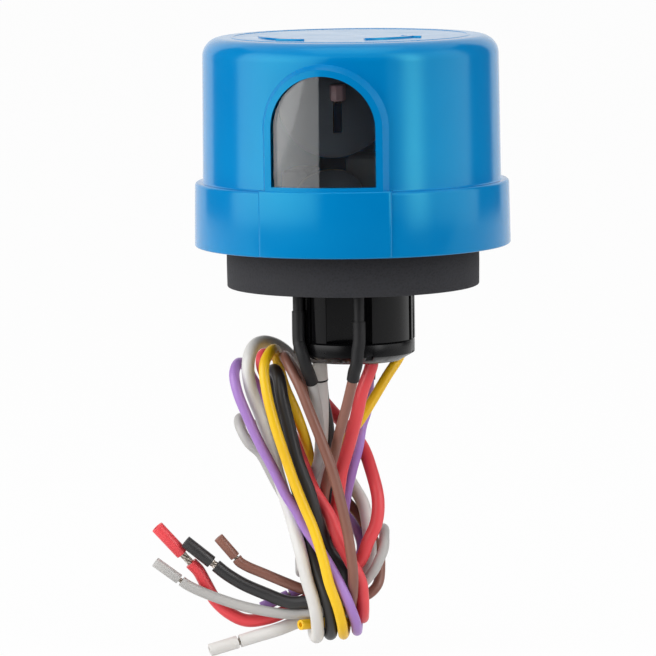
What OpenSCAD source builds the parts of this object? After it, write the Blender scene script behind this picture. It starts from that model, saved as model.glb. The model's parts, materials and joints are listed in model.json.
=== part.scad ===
// Photocell switch: a twist-lock light sensor on its seven-lead receptacle.
// Millimetres. The window faces -Y, +Z is up, the origin is the centre of the gasket underside.

/* [Cover] */
// outside diameter of the skirt at its lower edge
cover_d = 84; // [82:0.5:88]
// height of the cover from the skirt edge to the top
cover_h = 55.4; // [54:0.1:62]
// height of the skirt
skirt_h = 17.1; // [16:0.1:17.5]
// wall thickness of the cover
wall = 2.2; // [1.8:0.1:2.4]
// rounding of the top edge
edge_r = 5; // [4:0.5:7]

/* [Window] */
// width of the arched opening
window_w = 27.7; // [22:0.1:28.5]
// height of the arched opening
window_h = 28.8; // [26:0.1:29.5]
// width of the raised border round the opening
frame_w = 2.8; // [2.6:0.05:3.6]
// thickness of the clear pane
pane_t = 1.6; // [1.2:0.1:1.8]

/* [Gasket] */
// height of the foam cup
gasket_h = 12.9; // [12:0.1:13.5]
// thickness of the foam round the flange
gasket_wall = 4.55; // [4:0.05:5]
// thickness of the foam under the flange
lip_t = 2; // [1.5:0.1:2.5]

/* [Receptacle] */
// diameter of the neck
neck_d = 32.6; // [32.2:0.1:33]
// length of the neck below the gasket underside
neck_h = 14.2; // [14:0.1:17]
// height of the wire cap under the neck
wire_cap_h = 5.8; // [5:0.1:7]
// distance between the two fixing screws
screw_spacing = 50; // [48:0.5:56]
// diameter of the fixing screw holes
screw_d = 4.5; // [4:0.1:5]

/* [Twist lock] */
// angle of the receptacle about the vertical against the window
socket_turn = 11; // [0:1:25]
// twist from locked to free
twist = 25; // [20:1:27]
// radius of the blade circle
blade_r = 10.8; // [10.4:0.1:11]
// thickness of a blade
blade_t = 1.6; // [1.4:0.1:1.7]
// running clearance of the blades in their slots
slot_gap = 0.3; // [0.2:0.05:0.4]

/* [Leads] */
// outside diameter of the three mains leads
thick_od = 3.5; // [3.3:0.1:3.5]
// outside diameter of the four signal leads
thin_od = 2.8; // [2.6:0.1:2.8]
// outside diameter of the shrink sleeves on the signal leads
sleeve_od = 3.4; // [3.2:0.1:3.5]
// length of the loose insulation slug on each end
slug_l = 8; // [6:0.5:9]

/* [Hidden] */

$fn = 96;
big = 200;

// heights
rim_drop = 2;
face_gap = 0.1;
z_rim = gasket_h - rim_drop;
z_base = gasket_h + face_gap;
base_t = 2.5;
z_seat = z_base + base_t;
z_ledge = z_rim + skirt_h;
z_top = z_rim + cover_h;
z_ceiling = z_top - wall;
board_t = 1.6;
z_board = z_seat + 1.5;
z_deck = z_board + board_t;
z_flange = gasket_h - 0.4;

// radii of the cover
r_rim = cover_d / 2;
r_ledge = r_rim - 0.25;
r_body = r_rim - 2.4;
r_crown = r_rim - 2.7;
r_in = r_crown - wall;
r_skirt_in = r_rim - wall;
r_pad = r_rim + 0.2;
r_panel = r_rim + 0.5;
r_pane = r_pad - 0.8;
panel_hw = window_w / 2 + frame_w + 0.95;
z_sill = z_ledge + 1.4;
rebate = 1.4;
fit = 0.1;

// base plate, bosses and board
base_r = r_skirt_in - 0.2;
boss_r = r_skirt_in - 3.2;
boss_d = 7;
boss_hole = 3;
board_d = 2 * (boss_r - boss_d / 2 - 0.8);

// blades and clips
foot_span = 20;
blade_az = [270, 30, 150];
blade_wide = [40, 30, 30];
z_foot = gasket_h - 4.5;
z_blade = -3;
top_plate = 3.8;
z_chamber = z_flange - top_plate;
z_floor = -9.5;
leaf_t = 0.5;
leaf_gap = 0.15;
chamber_w = 2 * (blade_t / 2 + leaf_gap + leaf_t) + 1.6;

// receptacle: the flange holds the screw heads, the foam cup holds the flange
head_d = 6.6;
flange_edge = 0.5;
flange_d = screw_spacing + head_d + 2 * flange_edge;
gasket_wall_in = flange_d / 2 + 0.2;
gasket_d = 2 * (gasket_wall_in + gasket_wall);
sleeve_r = neck_d / 2 + sleeve_od / 2 + 0.2;
gasket_hole = 2 * (sleeve_r + sleeve_od / 2 + 0.2);
z_cap = -neck_h;
z_exit = -neck_h - wire_cap_h;
lead_dz = 20 + z_exit;
cap_r = neck_d / 2 - 0.1;
cone_r = cap_r - 3.6;
cone_h = 2.1;
collars = [[4.5, -2], [-9.2, 7.2], [-9.2, 1.6]];
sides = 8;
long_step = 4.6;

// places of the contact pads
pad_r = 21;
pad_az = [45, 135, 225, 315];

// lead routes: round points in the receptacle frame, from the neck to the stripped end
white_pts = [
  [-8.6, 5, -34], [-8.8, 6, -42.5], [-9.4, 8, -50.5], [-10.3, 9.2, -60], [-11, 10.5, -70],
  [-11.2, 11, -80], [-11.5, 10.8, -87], [-11.4, 9, -93], [-11.1, 5.5, -96.8], [-10.6, 1.5, -97.8],
  [-10.1, -2.5, -96.2], [-10.4, -5.5, -91], [-11.3, -6.5, -86], [-12.9, -6.5, -80.5], [-14.5, -6, -73],
  [-16.7, -3.9, -64.5], [-18.5, -2.5, -58.5], [-20.5, -2, -51.5], [-22.5, -2, -43.5], [-24.9, -2.5, -35.5],
  [-27.6, -3, -27.5], [-28.3, -2.5, -21], [-27, 0.5, -16.5], [-24, 4.5, -15.5], [-20, 9, -17.5],
  [-16.5, 13, -21.5], [-13.5, 15.5, -28], [-10.5, 16, -36], [-8, 16.5, -44], [-4.5, 17, -51],
  [-0.5, 16, -57.5], [2.5, 13, -63], [3.7, 10, -69.5], [4.1, 7.1, -75.5], [2.9, 5.5, -79.8],
  [0, 6, -82.7], [-2.4, 6.4, -84.7], [-6, 6, -88.3], [-10.5, 5.2, -91.6], [-15, 4, -93.7],
  [-20.5, 2.2, -95.7], [-26.5, 1, -97.3], [-31, 0, -98.5]];
black_pts = [
  [-9.2, 7.3, -22], [-8.5, 8.7, -31.5], [-7.2, 9.7, -40], [-7, 10.5, -48], [-7, 11.5, -57],
  [-7.3, 12, -66], [-7.5, 12.2, -76], [-7.9, 12.1, -84], [-8, 10.5, -90], [-7.7, 7.5, -95],
  [-6.9, 3.5, -97.2], [-6.5, -0.5, -96], [-6.5, -4, -92], [-7.6, -5.8, -86], [-9.9, -4.8, -79],
  [-12.1, -3.5, -72], [-13, -2, -66], [-14.6, -0.5, -59], [-16.7, 0.7, -51.5], [-18.6, 1.8, -43.5],
  [-21, 3, -36], [-22.4, 3.8, -30], [-22.3, 2.8, -25.3], [-21.4, -0.5, -22.8], [-20.1, -4, -24.7],
  [-19.2, -5.6, -30], [-17.3, -5.7, -38.5], [-15.2, -5.7, -47.5], [-12.2, -5.6, -56], [-10.4, -4.8, -63],
  [-8.5, -2, -69.5], [-6.3, -0.5, -74.5], [-3.5, -0.5, -77.7], [-2.3, -1.2, -81.5], [-4.5, -1.9, -84.9],
  [-9, -1.9, -86.6], [-13, -1.7, -87.4], [-18, -1, -87.5], [-24, 0, -85.3], [-29.8, 0, -82.6],
  [-34.2, 0, -79.8], [-37.3, 0, -77.2]];
red_pts = [
  [4.5, -2, -22], [2, -2, -29], [0.5, -1, -36], [-1.5, 1, -44], [-3.5, 3, -51.5],
  [-4.5, 5, -59.5], [-5, 6.5, -66], [-4.5, 7.7, -72], [-2.7, 9.6, -79], [0.5, 9.8, -85],
  [2, 8.6, -89.7], [2, 5, -92.7], [1.9, 1, -91.8], [2, -2, -87.5], [1.4, -3.8, -81.5],
  [-1.2, -4.4, -76], [-4.2, -4.2, -70], [-7, -2, -63], [-11, 0.3, -56.5], [-14.3, 4, -48.5],
  [-17.4, 6.4, -40.5], [-20.3, 8.2, -32.5], [-23, 9.2, -27], [-24.6, 10.2, -23], [-24.3, 13, -20.2],
  [-21.6, 17, -20.6], [-17.5, 19.5, -24], [-12, 20.5, -30], [-6, 19.5, -37], [-2, 17, -41.5],
  [2, 13, -46], [4.4, 8.5, -52], [6.2, 4.5, -59.5], [5.8, 3, -66], [3.5, 2.5, -71.5],
  [1.5, 2.2, -76.5], [-2.5, 2.8, -81], [-6, 4.4, -83.8], [-10, 5.2, -86.6], [-14, 5.3, -88.5],
  [-18.5, 4.7, -91], [-23.5, 4, -92.8], [-29, 3.2, -93.3], [-33.5, 3, -91.3], [-37.5, 3, -87.5],
  [-40.2, 2.6, -82.5], [-42, 2.2, -79], [-44, 2, -76.7]];
yellow_pts = [
  [12, 10.5, -21.2], [8.8, 8.6, -26], [5.2, 7, -32], [1.8, 5.8, -37.5], [-1.6, 7.4, -43],
  [-3, 10, -51], [-3.5, 11.8, -60], [-4.2, 12.8, -66], [-4, 13.8, -73], [-3, 14.5, -80],
  [-2.2, 14, -87], [-2.1, 11, -92.5], [-2.6, 6.5, -96.3], [-3.1, 1.5, -97.2], [-3.3, -3.5, -95.8],
  [-3.7, -7, -92.5], [-5, -9, -87], [-7, -9.5, -81], [-8.5, -9.5, -74.5], [-11, -9.5, -66],
  [-14, -9, -58.5], [-16.6, -9, -51.5], [-19.2, -9, -43.5], [-21.6, -9, -35.5], [-23.4, -8.5, -27.5],
  [-24, -7, -21], [-22.5, -3, -17.5], [-21, 2, -17.5], [-20.3, 6.2, -22], [-18.6, 7.5, -28.5],
  [-15.5, 7, -36], [-13, 8, -44], [-11.5, 11, -52], [-9.5, 15, -61], [-7, 17, -71],
  [-5.5, 16.8, -81], [-5.3, 13.8, -88], [-4.5, 9.7, -91.3], [-5.8, 5.5, -92.9],
  [-8, 2.3, -93.9], [-10.4, 0.4, -93.8]];
brown_pts = [
  [-2, -11.5, -31], [-4, -8.5, -39], [-5.5, -4.5, -46], [-7.3, 0.2, -53],
  [-8.4, 3.5, -60], [-8.4, 6, -68], [-7.1, 8.3, -76], [-4.9, 10.3, -82], [-2.3, 10.8, -87],
  [-1.5, 7.5, -90.7], [-1.4, 3, -91.7], [-1.3, -1.5, -89.7], [-0.7, -5.5, -85], [-0.6, -8.2, -79],
  [-1.2, -9, -72.5], [-2.2, -9.2, -66], [-4, -9.5, -57.5], [-6.2, -10, -49], [-9, -10, -41],
  [-12, -9.7, -33], [-14.5, -8.7, -26.5], [-17, -6.5, -21.5], [-18.5, -2.5, -19], [-18, 1.5, -19.5],
  [-16.5, 5, -22.5], [-14.3, 7.3, -26.5], [-11.7, 9.7, -32], [-9.8, 12, -39], [-9, 13.2, -46],
  [-7, 14.5, -53], [-3.5, 15.5, -60], [1.2, 15, -66], [4.2, 13.1, -71], [6.4, 10.5, -75],
  [6.8, 7.4, -79], [6.2, 4.7, -83.5], [3.7, 3.5, -86.3], [0.5, 3.3, -87.3], [-2.5, 3.1, -87.1],
  [-5.5, 2.4, -86.7], [-8.5, 1.3, -85.8], [-12, 0.6, -84.6], [-14.5, 0, -84], [-19, -0.5, -82],
  [-24.5, -0.5, -79.5], [-28.5, -0.5, -77.7], [-30.8, -0.5, -76.3], [-31.7, -0.5, -75.2]];
grey_pts = [
  [-10, -5, -33], [-9.3, -1.5, -40], [-9.2, 2.9, -47], [-11.4, 5.6, -54],
  [-13.4, 7.5, -61], [-14.4, 10, -68], [-14.7, 10.6, -74.5], [-14.7, 8.5, -79.3], [-14.6, 4.5, -80],
  [-14.4, 2, -76], [-15.2, 1.2, -69], [-17.8, 1, -61], [-21.5, 1, -53.5], [-25, 0.5, -46.5],
  [-28.3, 0, -43], [-30.5, 1.5, -39], [-30.8, 6, -37], [-28.9, 10.5, -38.3], [-25.5, 14, -41.5],
  [-20, 17.5, -49], [-14, 20.5, -56], [-8, 22.7, -62.3], [-2, 22.8, -67.5], [3, 20.5, -70],
  [7, 15.2, -69.7], [7.9, 9.5, -69.2], [7.9, 5.5, -70.5], [7.7, 3, -73.5], [6.3, 1.5, -76.8],
  [4.5, 0.5, -80], [0.7, 0.3, -84.2], [-1.2, 0.2, -85.8], [-2.7, 0, -87], [-5.5, -0.5, -88.8],
  [-9, -1, -90.2], [-16.5, -0.5, -91], [-23, -0.5, -90.3], [-30.5, -0.5, -88.5], [-37.5, -0.5, -86],
  [-42.5, -0.5, -83.8], [-45.2, -0.5, -82.3], [-46.5, -0.5, -81.3]];
purple_pts = [
  [3.5, 11, -35], [2, 9, -40], [1, 8, -46], [-0.5, 7.5, -51.5],
  [-2.3, 8.3, -60], [-2.8, 9.7, -66], [-2, 11, -73], [-0.3, 12.6, -80], [1.2, 13.2, -87],
  [0.9, 10.8, -92.5], [0.6, 5.5, -96], [0.4, 0, -95.9], [0, -5, -92.5], [-1.4, -7.5, -88],
  [-3.2, -8, -83.5], [-6, -7, -78], [-9.5, -6, -72], [-13, -6, -66.5], [-15.5, -6, -61.5],
  [-18.5, -6, -56.5], [-22, -5.7, -49], [-25.5, -5.7, -42], [-28.5, -5.7, -35], [-31, -5.2, -28.5],
  [-32, -3, -23.5], [-31, 1.5, -21], [-29.2, 7, -22.5], [-26.6, 12.2, -28], [-22.5, 16, -36],
  [-18, 19, -45], [-11, 21.5, -53], [-6, 22, -60], [-1.5, 19.5, -66.5], [1, 14.7, -71],
  [1.9, 11, -74.3], [1.2, 8.4, -76.5], [-0.8, 6.8, -78], [-3.5, 6.2, -79.5], [-6.5, 6.5, -80.9],
  [-10.5, 6.2, -83], [-14, 6, -84.8], [-17.5, 5.2, -86.3]];

// joint between each sleeve and its lead: place and direction
grey_joint = [[-11.3, -7.6, -25.3], [0.24, 0.5, -0.83]];
brown_joint = [[-0.5, -14.8, -23.8], [-0.15, 0.45, -0.88]];
yellow_joint = [[13.7, 11.7, -17.3], [-0.12, -0.1, -0.98]];
purple_joint = [[4, 13, -27], [-0.1, -0.32, -0.94]];
white_joint = [[-9, 2.6, -25.8], [0.04, 0.25, -0.97]];

// sleeve azimuths from the front, anticlockwise from above
white_sleeve_od = 3.9;
grey_az = -54;
brown_az = 4;
yellow_az = 130;
purple_az = 162;

// the fold hangs a little shorter and leans a little against the points as set
fold = 0.967;
lean = 0.008;
function hang(p) = [for (q = p) [q[0] + lean * (q[2] + 20), q[1], -20 + fold * (q[2] + 20)]];

function unit(v) = v / norm(v);
function spin(a, r, z) = [r * sin(a), -r * cos(a), z];

// smooth curve through hand-set points, one extra ring in each long step
function blend(a, b, c, d, t) =
  0.5 * (2 * b + (c - a) * t + (2 * a - 5 * b + 4 * c - d) * t * t + (3 * b - a - 3 * c + d) * t * t * t);
function before(p, i) = i > 0 ? p[i - 1] : 2 * p[0] - p[1];
function after(p, i) = i < len(p) - 2 ? p[i + 2] : 2 * p[i + 1] - p[i];
function steps(p, i) = norm(p[i + 1] - p[i]) > long_step ? 2 : 1;
function curve(p) = concat(
  [for (i = [0:len(p) - 2]) for (k = [0:steps(p, i) - 1])
    blend(before(p, i), p[i], p[i + 1], after(p, i), k / steps(p, i))],
  [p[len(p) - 1]]);
function heading(q, i, t0) =
  i == 0 ? unit(t0) : i == len(q) - 1 ? unit(q[i] - q[i - 1]) : unit(q[i + 1] - q[i - 1]);
function level(u, t) = unit(u - (u * t) * t);
function carry(h, i, u) = i == len(h) - 1 ? [u] : concat([u], carry(h, i + 1, level(u, h[i + 1])));
function ring(c, t, u, r) =
  [for (k = [0:sides - 1]) c + r * cos(360 * k / sides) * u + r * sin(360 * k / sides) * cross(t, u)];
function last(p) = p[len(p) - 1];
function end_dir(p) = unit(last(curve(p)) - curve(p)[len(curve(p)) - 2]);

module tube(p, d, t0) {
  q = curve(p);
  n = len(q);
  h = [for (i = [0:n - 1]) heading(q, i, t0)];
  u = carry(h, 0, level([0.3, 1, 0.1], h[0]));
  pts = [for (i = [0:n - 1]) each ring(q[i], h[i], u[i], d / 2)];
  caps = [[for (k = [0:sides - 1]) k], [for (k = [0:sides - 1]) (n - 1) * sides + sides - 1 - k]];
  skin = [for (i = [0:n - 2]) for (k = [0:sides - 1]) for (s = [0, 1])
    let (a = i * sides + k, b = i * sides + (k + 1) % sides)
    s == 0 ? [a, a + sides, b] : [b, a + sides, b + sides]];
  polyhedron(points = pts, faces = concat(caps, skin), convexity = 12);
}

// a straight rod from a point along a direction
module rod(p, t, from, length, d) {
  b = acos(t[2]);
  c = atan2(t[1], t[0]);
  translate(p) rotate([0, b, c]) translate([0, 0, from]) cylinder(h = length, d = d, $fn = 32);
}

module in_receptacle() {
  rotate([0, 0, socket_turn]) children();
}

module in_leads() {
  rotate([0, 0, socket_turn]) translate([0, 0, lead_dz]) children();
}

// arched outline standing on the sill
module arch(hw, z0, z_spring) {
  union() {
    translate([-hw, z0]) square([2 * hw, z_spring - z0]);
    translate([0, z_spring]) circle(r = hw);
  }
}

// outline drawn in x and z, pushed out to the front
module to_front(y0, depth) {
  translate([0, y0, 0]) rotate([90, 0, 0]) linear_extrude(height = depth) children();
}

module band(r0, r1, z0, z1) {
  difference() {
    translate([0, 0, z0]) cylinder(h = z1 - z0, r = r1);
    translate([0, 0, z0 - 1]) cylinder(h = z1 - z0 + 2, r = r0);
  }
}

// part of a ring between two angles, cut by two half planes (span under 180)
module sector(r0, r1, z0, z1, a0, a1) {
  intersection() {
    band(r0, r1, z0, z1);
    rotate([0, 0, a0]) translate([0, 0, z0 - 1]) cube([big, big, z1 - z0 + 2]);
    rotate([0, 0, a1]) translate([0, -big, z0 - 1]) cube([big, big, z1 - z0 + 2]);
  }
}

spring_z = z_sill + window_h - window_w / 2;

module cover_outer() {
  rotate_extrude() union() {
    polygon([[0, z_rim], [r_rim - 0.4, z_rim], [r_rim, z_rim + 0.4], [r_ledge, z_ledge - 0.8],
      [r_ledge - 0.8, z_ledge], [0, z_ledge]]);
    translate([r_ledge - 0.8, z_ledge - 0.8]) circle(r = 0.8);
    polygon([[0, z_ledge - 1], [r_body, z_ledge - 1], [r_crown, z_top - edge_r],
      [r_crown - edge_r, z_top], [0, z_top]]);
    translate([r_crown - edge_r, z_top - edge_r]) circle(r = edge_r);
  }
}

module cover_inner() {
  rotate_extrude() union() {
    polygon([[0, z_rim - 1], [r_skirt_in, z_rim - 1], [r_skirt_in, z_ledge - wall],
      [r_in, z_ledge - wall], [r_in, z_ceiling - 4], [r_in - 4, z_ceiling], [0, z_ceiling]]);
    translate([r_in - 4, z_ceiling - 4]) circle(r = 4);
  }
}

// raised marks on the top: a ring and two turning arrows
mark_r = 21;
module top_marks() {
  band(31, 31.8, z_top - 0.2, z_top + 0.4);
  for (a = [190, 305]) {
    sector(mark_r - 1, mark_r + 1, z_top - 0.2, z_top + 0.4, a, a + 40);
    rotate([0, 0, a + 40]) translate([mark_r, 0, z_top - 0.2])
      linear_extrude(height = 0.6) polygon([[-3.2, 0], [3.2, 0], [0, 6]]);
  }
}

module cover() {
  color([0.02, 0.42, 0.72]) difference() {
    union() {
      difference() {
        union() {
          cover_outer();
          intersection() {
            translate([0, 0, z_ledge - 2]) cylinder(h = cover_h, r = r_pad);
            to_front(-20, 40) arch(window_w / 2 + frame_w, z_ledge - 1, spring_z);
          }
          intersection() {
            translate([0, 0, z_rim + 0.4]) cylinder(h = skirt_h - 0.1, r = r_panel);
            to_front(-20, 40) translate([-panel_hw, 0]) square([2 * panel_hw, z_top]);
          }
        }
        cover_inner();
      }
      for (a = [0:60:300]) rotate([0, 0, a + 30]) translate([r_skirt_in - 1.8, -0.9, z_seat])
        cube([2.2, 1.8, z_ledge - wall - z_seat + 0.5]);
      for (a = [90, 210, 330]) rotate([0, 0, a]) translate([boss_r, 0, z_seat])
        cylinder(h = z_ledge - wall - z_seat + 0.5, d = boss_d, $fn = 48);
      top_marks();
    }
    to_front(-20, 40) arch(window_w / 2, z_sill, spring_z);
    intersection() {
      translate([0, 0, z_ledge]) cylinder(h = cover_h, r = r_pane);
      to_front(-20, 40) arch(window_w / 2 + rebate, z_sill - 1, spring_z);
    }
    for (a = [90, 210, 330]) rotate([0, 0, a]) translate([boss_r, 0, z_seat - 1])
      cylinder(h = 8, d = boss_hole, $fn = 32);
  }
}

module window_pane() {
  color([0.75, 0.82, 0.85, 0.4]) intersection() {
    band(r_pane - pane_t, r_pane, z_ledge, z_top);
    to_front(-20, 40) arch(window_w / 2 + rebate - fit, z_sill - 1 + fit, spring_z);
  }
}

// curved black screen hung from the ceiling behind the sensor
shield_r = 27;
shield_t = 1.5;
shield_z = z_ceiling - 10.8;
shield_hw = 18.7;
sensor_x = 1.8;
sensor_y = -shield_r - 2.3;
sensor_d = 4.1;
sensor_h = 2.2;
sensor_z = z_ceiling - 13;
slot_w = 2.4;
leg_d = 0.6;
leg_y = -shield_r + shield_t + 1.2;
leg_z = sensor_z - 1.5;
leg_out = 1.5;
block = [5, 3, 6];
block_z = shield_z - shield_hw + 2;

module sensor_shield() {
  color([0.05, 0.05, 0.06]) difference() {
    intersection() {
      band(shield_r - shield_t, shield_r, shield_z - 20, z_ceiling);
      to_front(-4, 30) union() {
        translate([0, shield_z]) circle(r = shield_hw);
        translate([-shield_hw, shield_z]) square([2 * shield_hw, 20]);
      }
    }
    translate([sensor_x - slot_w / 2, -shield_r - 2, sensor_z - 8.6]) cube([slot_w, 4, 9.7]);
  }
  color([0.05, 0.05, 0.06]) translate([sensor_x - block[0] / 2, -shield_r + 0.5, block_z])
    cube(block);
}

module photo_sensor() {
  color([0.9, 0.72, 0.7]) union() {
    translate([sensor_x, sensor_y, sensor_z]) cylinder(h = sensor_h, d = sensor_d, $fn = 48);
    translate([sensor_x, sensor_y, sensor_z]) cylinder(h = 0.8, d = sensor_d + 0.4, $fn = 48);
    translate([sensor_x, sensor_y, sensor_z + sensor_h]) sphere(d = sensor_d, $fn = 48);
  }
}

module sensor_legs() {
  color([0.75, 0.75, 0.76]) for (s = [-1, 1]) translate([sensor_x + s * 0.55, 0, 0]) {
    translate([0, sensor_y, leg_z]) cylinder(h = sensor_z - leg_z, d = leg_d, $fn = 24);
    translate([0, sensor_y, leg_z]) sphere(d = leg_d, $fn = 24);
    translate([0, sensor_y, leg_z]) rotate([-90, 0, 0]) cylinder(h = leg_y - sensor_y, d = leg_d, $fn = 24);
    translate([0, leg_y, leg_z]) sphere(d = leg_d, $fn = 24);
    translate([0, leg_y, leg_z]) rotate([0, s * 90, 0]) cylinder(h = leg_out, d = leg_d, $fn = 24);
    translate([s * leg_out, leg_y, leg_z]) sphere(d = leg_d, $fn = 24);
    translate([s * leg_out, leg_y, block_z + block[2]])
      cylinder(h = leg_z - block_z - block[2], d = leg_d, $fn = 24);
  }
}

module circuit_board() {
  color([0.1, 0.35, 0.2]) translate([0, 0, z_board]) cylinder(h = board_t, d = board_d);
}

relay_size = [19, 15.5, 15];
module relay() {
  color([0.85, 0.84, 0.8]) translate([-2, 2, z_deck]) union() {
    cube(relay_size);
    translate([0.6, 0.6, relay_size[2]]) cube([relay_size[0] - 1.2, relay_size[1] - 1.2, 0.5]);
  }
}

film_size = [7, 17, 11];
module film_capacitor() {
  color([0.3, 0.31, 0.33]) translate([-20, 4, z_deck]) union() {
    cube(film_size);
    translate([0.5, 0.5, film_size[2]]) cube([film_size[0] - 1, film_size[1] - 1, 0.4]);
  }
}

can_d = 8;
can_h = 11.6;
module reservoir_capacitor() {
  color([0.12, 0.12, 0.14]) translate([19, -11, z_deck]) union() {
    cylinder(h = can_h, d = can_d, $fn = 48);
    translate([0, 0, can_h]) cylinder(h = 0.4, d = can_d - 1.4, $fn = 48);
  }
}

// disc leaning back on the board
varistor_r = 9;
varistor_tilt = 38;
module varistor() {
  color([0.2, 0.22, 0.25]) translate([-1.8, -20.5, z_deck + varistor_r * sin(varistor_tilt)])
    rotate([varistor_tilt, 0, 0]) union() {
      cylinder(h = 3, r = varistor_r, $fn = 64);
      translate([0, 0, 2]) cylinder(h = 1.5, r = varistor_r - 0.6, $fn = 64);
    }
}

module blade_slot_base(i) {
  sector(blade_r - blade_t / 2 - fit, blade_r + blade_t / 2 + fit, z_base - 1, z_seat + 1,
    blade_az[i] - 1, blade_az[i] + blade_wide[i] + 1);
}

module base_plate() {
  color([0.06, 0.06, 0.07]) difference() {
    union() {
      translate([0, 0, z_base]) cylinder(h = base_t, r = base_r);
      for (a = [30, 150, 270]) rotate([0, 0, a]) translate([board_d / 2 - 6, 0, z_seat - 0.5])
        cylinder(h = 2, d = 6, $fn = 48);
    }
    for (i = [0:2]) blade_slot_base(i);
    for (a = [90, 210, 330]) rotate([0, 0, a]) translate([boss_r, 0, z_base - 1]) {
      cylinder(h = base_t + 2, d = 3.2, $fn = 32);
      cylinder(h = 1 + 1.6, d = 5.8, $fn = 32);
    }
  }
}

module blade(i) {
  color([0.85, 0.68, 0.28]) union() {
    sector(blade_r - blade_t / 2, blade_r + blade_t / 2, z_blade, z_board,
      blade_az[i], blade_az[i] + blade_wide[i]);
    sector(blade_r - blade_t / 2, blade_r + blade_t / 2, z_blade, z_foot,
      blade_az[i] - foot_span, blade_az[i] + blade_wide[i]);
  }
}

module line_blade() { blade(1); }
module load_blade() { blade(2); }
module neutral_blade() { blade(0); }

module signal_contacts() {
  color([0.9, 0.74, 0.3]) for (a = pad_az) rotate([0, 0, a]) translate([pad_r, 0, z_base - 0.25])
    cylinder(h = 0.25, d = 4.5, $fn = 32);
}

module base_screws() {
  color([0.6, 0.6, 0.62]) for (a = [90, 210, 330]) rotate([0, 0, a]) translate([boss_r, 0, z_base + 0.2])
    difference() {
      union() {
        cylinder(h = 1.4, d = 5.4, $fn = 48);
        cylinder(h = base_t + 5.5, d = 2.8, $fn = 32);
      }
      translate([-2, -0.4, -1]) cube([4, 0.8, 1.7]);
      translate([-0.4, -2, -1]) cube([0.8, 4, 1.7]);
    }
}

module gasket() {
  color([0.2, 0.2, 0.21]) in_receptacle() difference() {
    rotate_extrude() difference() {
      polygon([[gasket_hole / 2, 0], [gasket_d / 2 - 0.6, 0], [gasket_d / 2, 0.6],
        [gasket_d / 2, gasket_h - 0.6], [gasket_d / 2 - 0.6, gasket_h], [gasket_hole / 2, gasket_h]]);
      translate([0, lip_t]) square([gasket_wall_in, gasket_h]);
    }
    for (s = [-1, 1]) translate([s * screw_spacing / 2, 0, -1]) cylinder(h = 10, d = screw_d, $fn = 32);
  }
}

// flutes: wide channels, grooves and flats repeat three times round the neck
channel_hw = 6.1;
channel_deep = 2.4;
groove_w = 1.5;
module neck_cuts() {
  for (a = [0, 120, 240]) rotate([0, 0, a]) {
    for (g = [-43.7, 66.3]) rotate([0, 0, g]) translate([-groove_w / 2, -neck_d / 2 - 1, z_cap - 1])
      cube([groove_w, 1.9, neck_h + lip_t]);
    rotate([0, 0, -5]) translate([-channel_hw, -neck_d / 2 - 1, z_cap - 1])
      cube([2 * channel_hw, channel_deep + 1, neck_h + lip_t]);
    for (f = [24.7, 41, 54.5]) rotate([0, 0, f]) translate([-4, -neck_d / 2 - 2 + 0.22, z_cap - 1])
      cube([8, 2, neck_h + lip_t]);
  }
}

module socket_body() {
  color([0.04, 0.04, 0.05]) in_receptacle() difference() {
    union() {
      rotate_extrude() polygon([[0, lip_t], [flange_d / 2, lip_t], [flange_d / 2, z_flange - 0.8],
        [flange_d / 2 - 0.8, z_flange], [0, z_flange]]);
      difference() {
        translate([0, 0, z_cap]) cylinder(h = neck_h + lip_t + 1, d = neck_d);
        neck_cuts();
      }
    }
    rotate([0, 0, -socket_turn]) for (i = [0:2]) {
      sector(blade_r - blade_t / 2 - slot_gap, blade_r + blade_t / 2 + slot_gap, z_chamber - 1, z_flange + 1,
        blade_az[i] - 2, blade_az[i] + blade_wide[i] + twist + 2);
      sector(blade_r - chamber_w / 2, blade_r + chamber_w / 2, z_floor, z_chamber,
        blade_az[i] - foot_span - 2, blade_az[i] + blade_wide[i] + twist + 2);
    }
    for (s = [-1, 1]) translate([s * screw_spacing / 2, 0, -1]) {
      cylinder(h = 20, d = screw_d, $fn = 32);
      translate([0, 0, lip_t + 5]) cylinder(h = 10, d = head_d, $fn = 48);
    }
    rotate([0, 0, -socket_turn]) for (a = pad_az)
      sector(pad_r - 2.9, pad_r + 2.9, z_flange - 0.8, z_flange + 1, a - 9, a + twist + 9);
  }
}

module clip(i) {
  c0 = blade_az[i] - foot_span + 1;
  c1 = blade_az[i] + blade_wide[i] - 1;
  r_a = blade_r - blade_t / 2 - leaf_gap;
  r_b = blade_r + blade_t / 2 + leaf_gap;
  color([0.82, 0.62, 0.25]) union() {
    sector(r_a - leaf_t, r_a, z_floor, z_foot - 2, c0, c1);
    sector(r_b, r_b + leaf_t, z_floor, z_foot - 2, c0, c1);
    sector(r_a - leaf_t, r_b + leaf_t, z_floor, z_floor + leaf_t, c0, c1);
  }
}

module line_clip() { clip(1); }
module load_clip() { clip(2); }
module neutral_clip() { clip(0); }

module signal_pads() {
  color([0.88, 0.72, 0.3]) for (a = pad_az)
    sector(pad_r - 2.7, pad_r + 2.7, z_flange - 0.8, z_flange, a - 8.4, a + twist + 8.4);
}

module wire_cap() {
  color([0.05, 0.05, 0.06]) in_receptacle() difference() {
    union() {
      rotate_extrude() polygon([[0, z_exit], [cone_r, z_exit], [cap_r, z_exit + cone_h],
        [cap_r, z_cap - 0.5], [cap_r - 0.5, z_cap], [0, z_cap]]);
      for (p = collars) translate([p[0], p[1], z_exit - 0.8])
        cylinder(h = cone_h + 0.8, d = 6.2, $fn = 48);
    }
    for (p = collars) translate([p[0], p[1], z_exit - 2])
      cylinder(h = 2, d = 4.6, $fn = 48);
    for (a = [0:60:300]) rotate([0, 0, a + 14.5]) translate([-0.9, -cap_r - 1, z_exit - 1])
      cube([1.8, 2.6, cone_h + 1.4]);
  }
}

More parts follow.
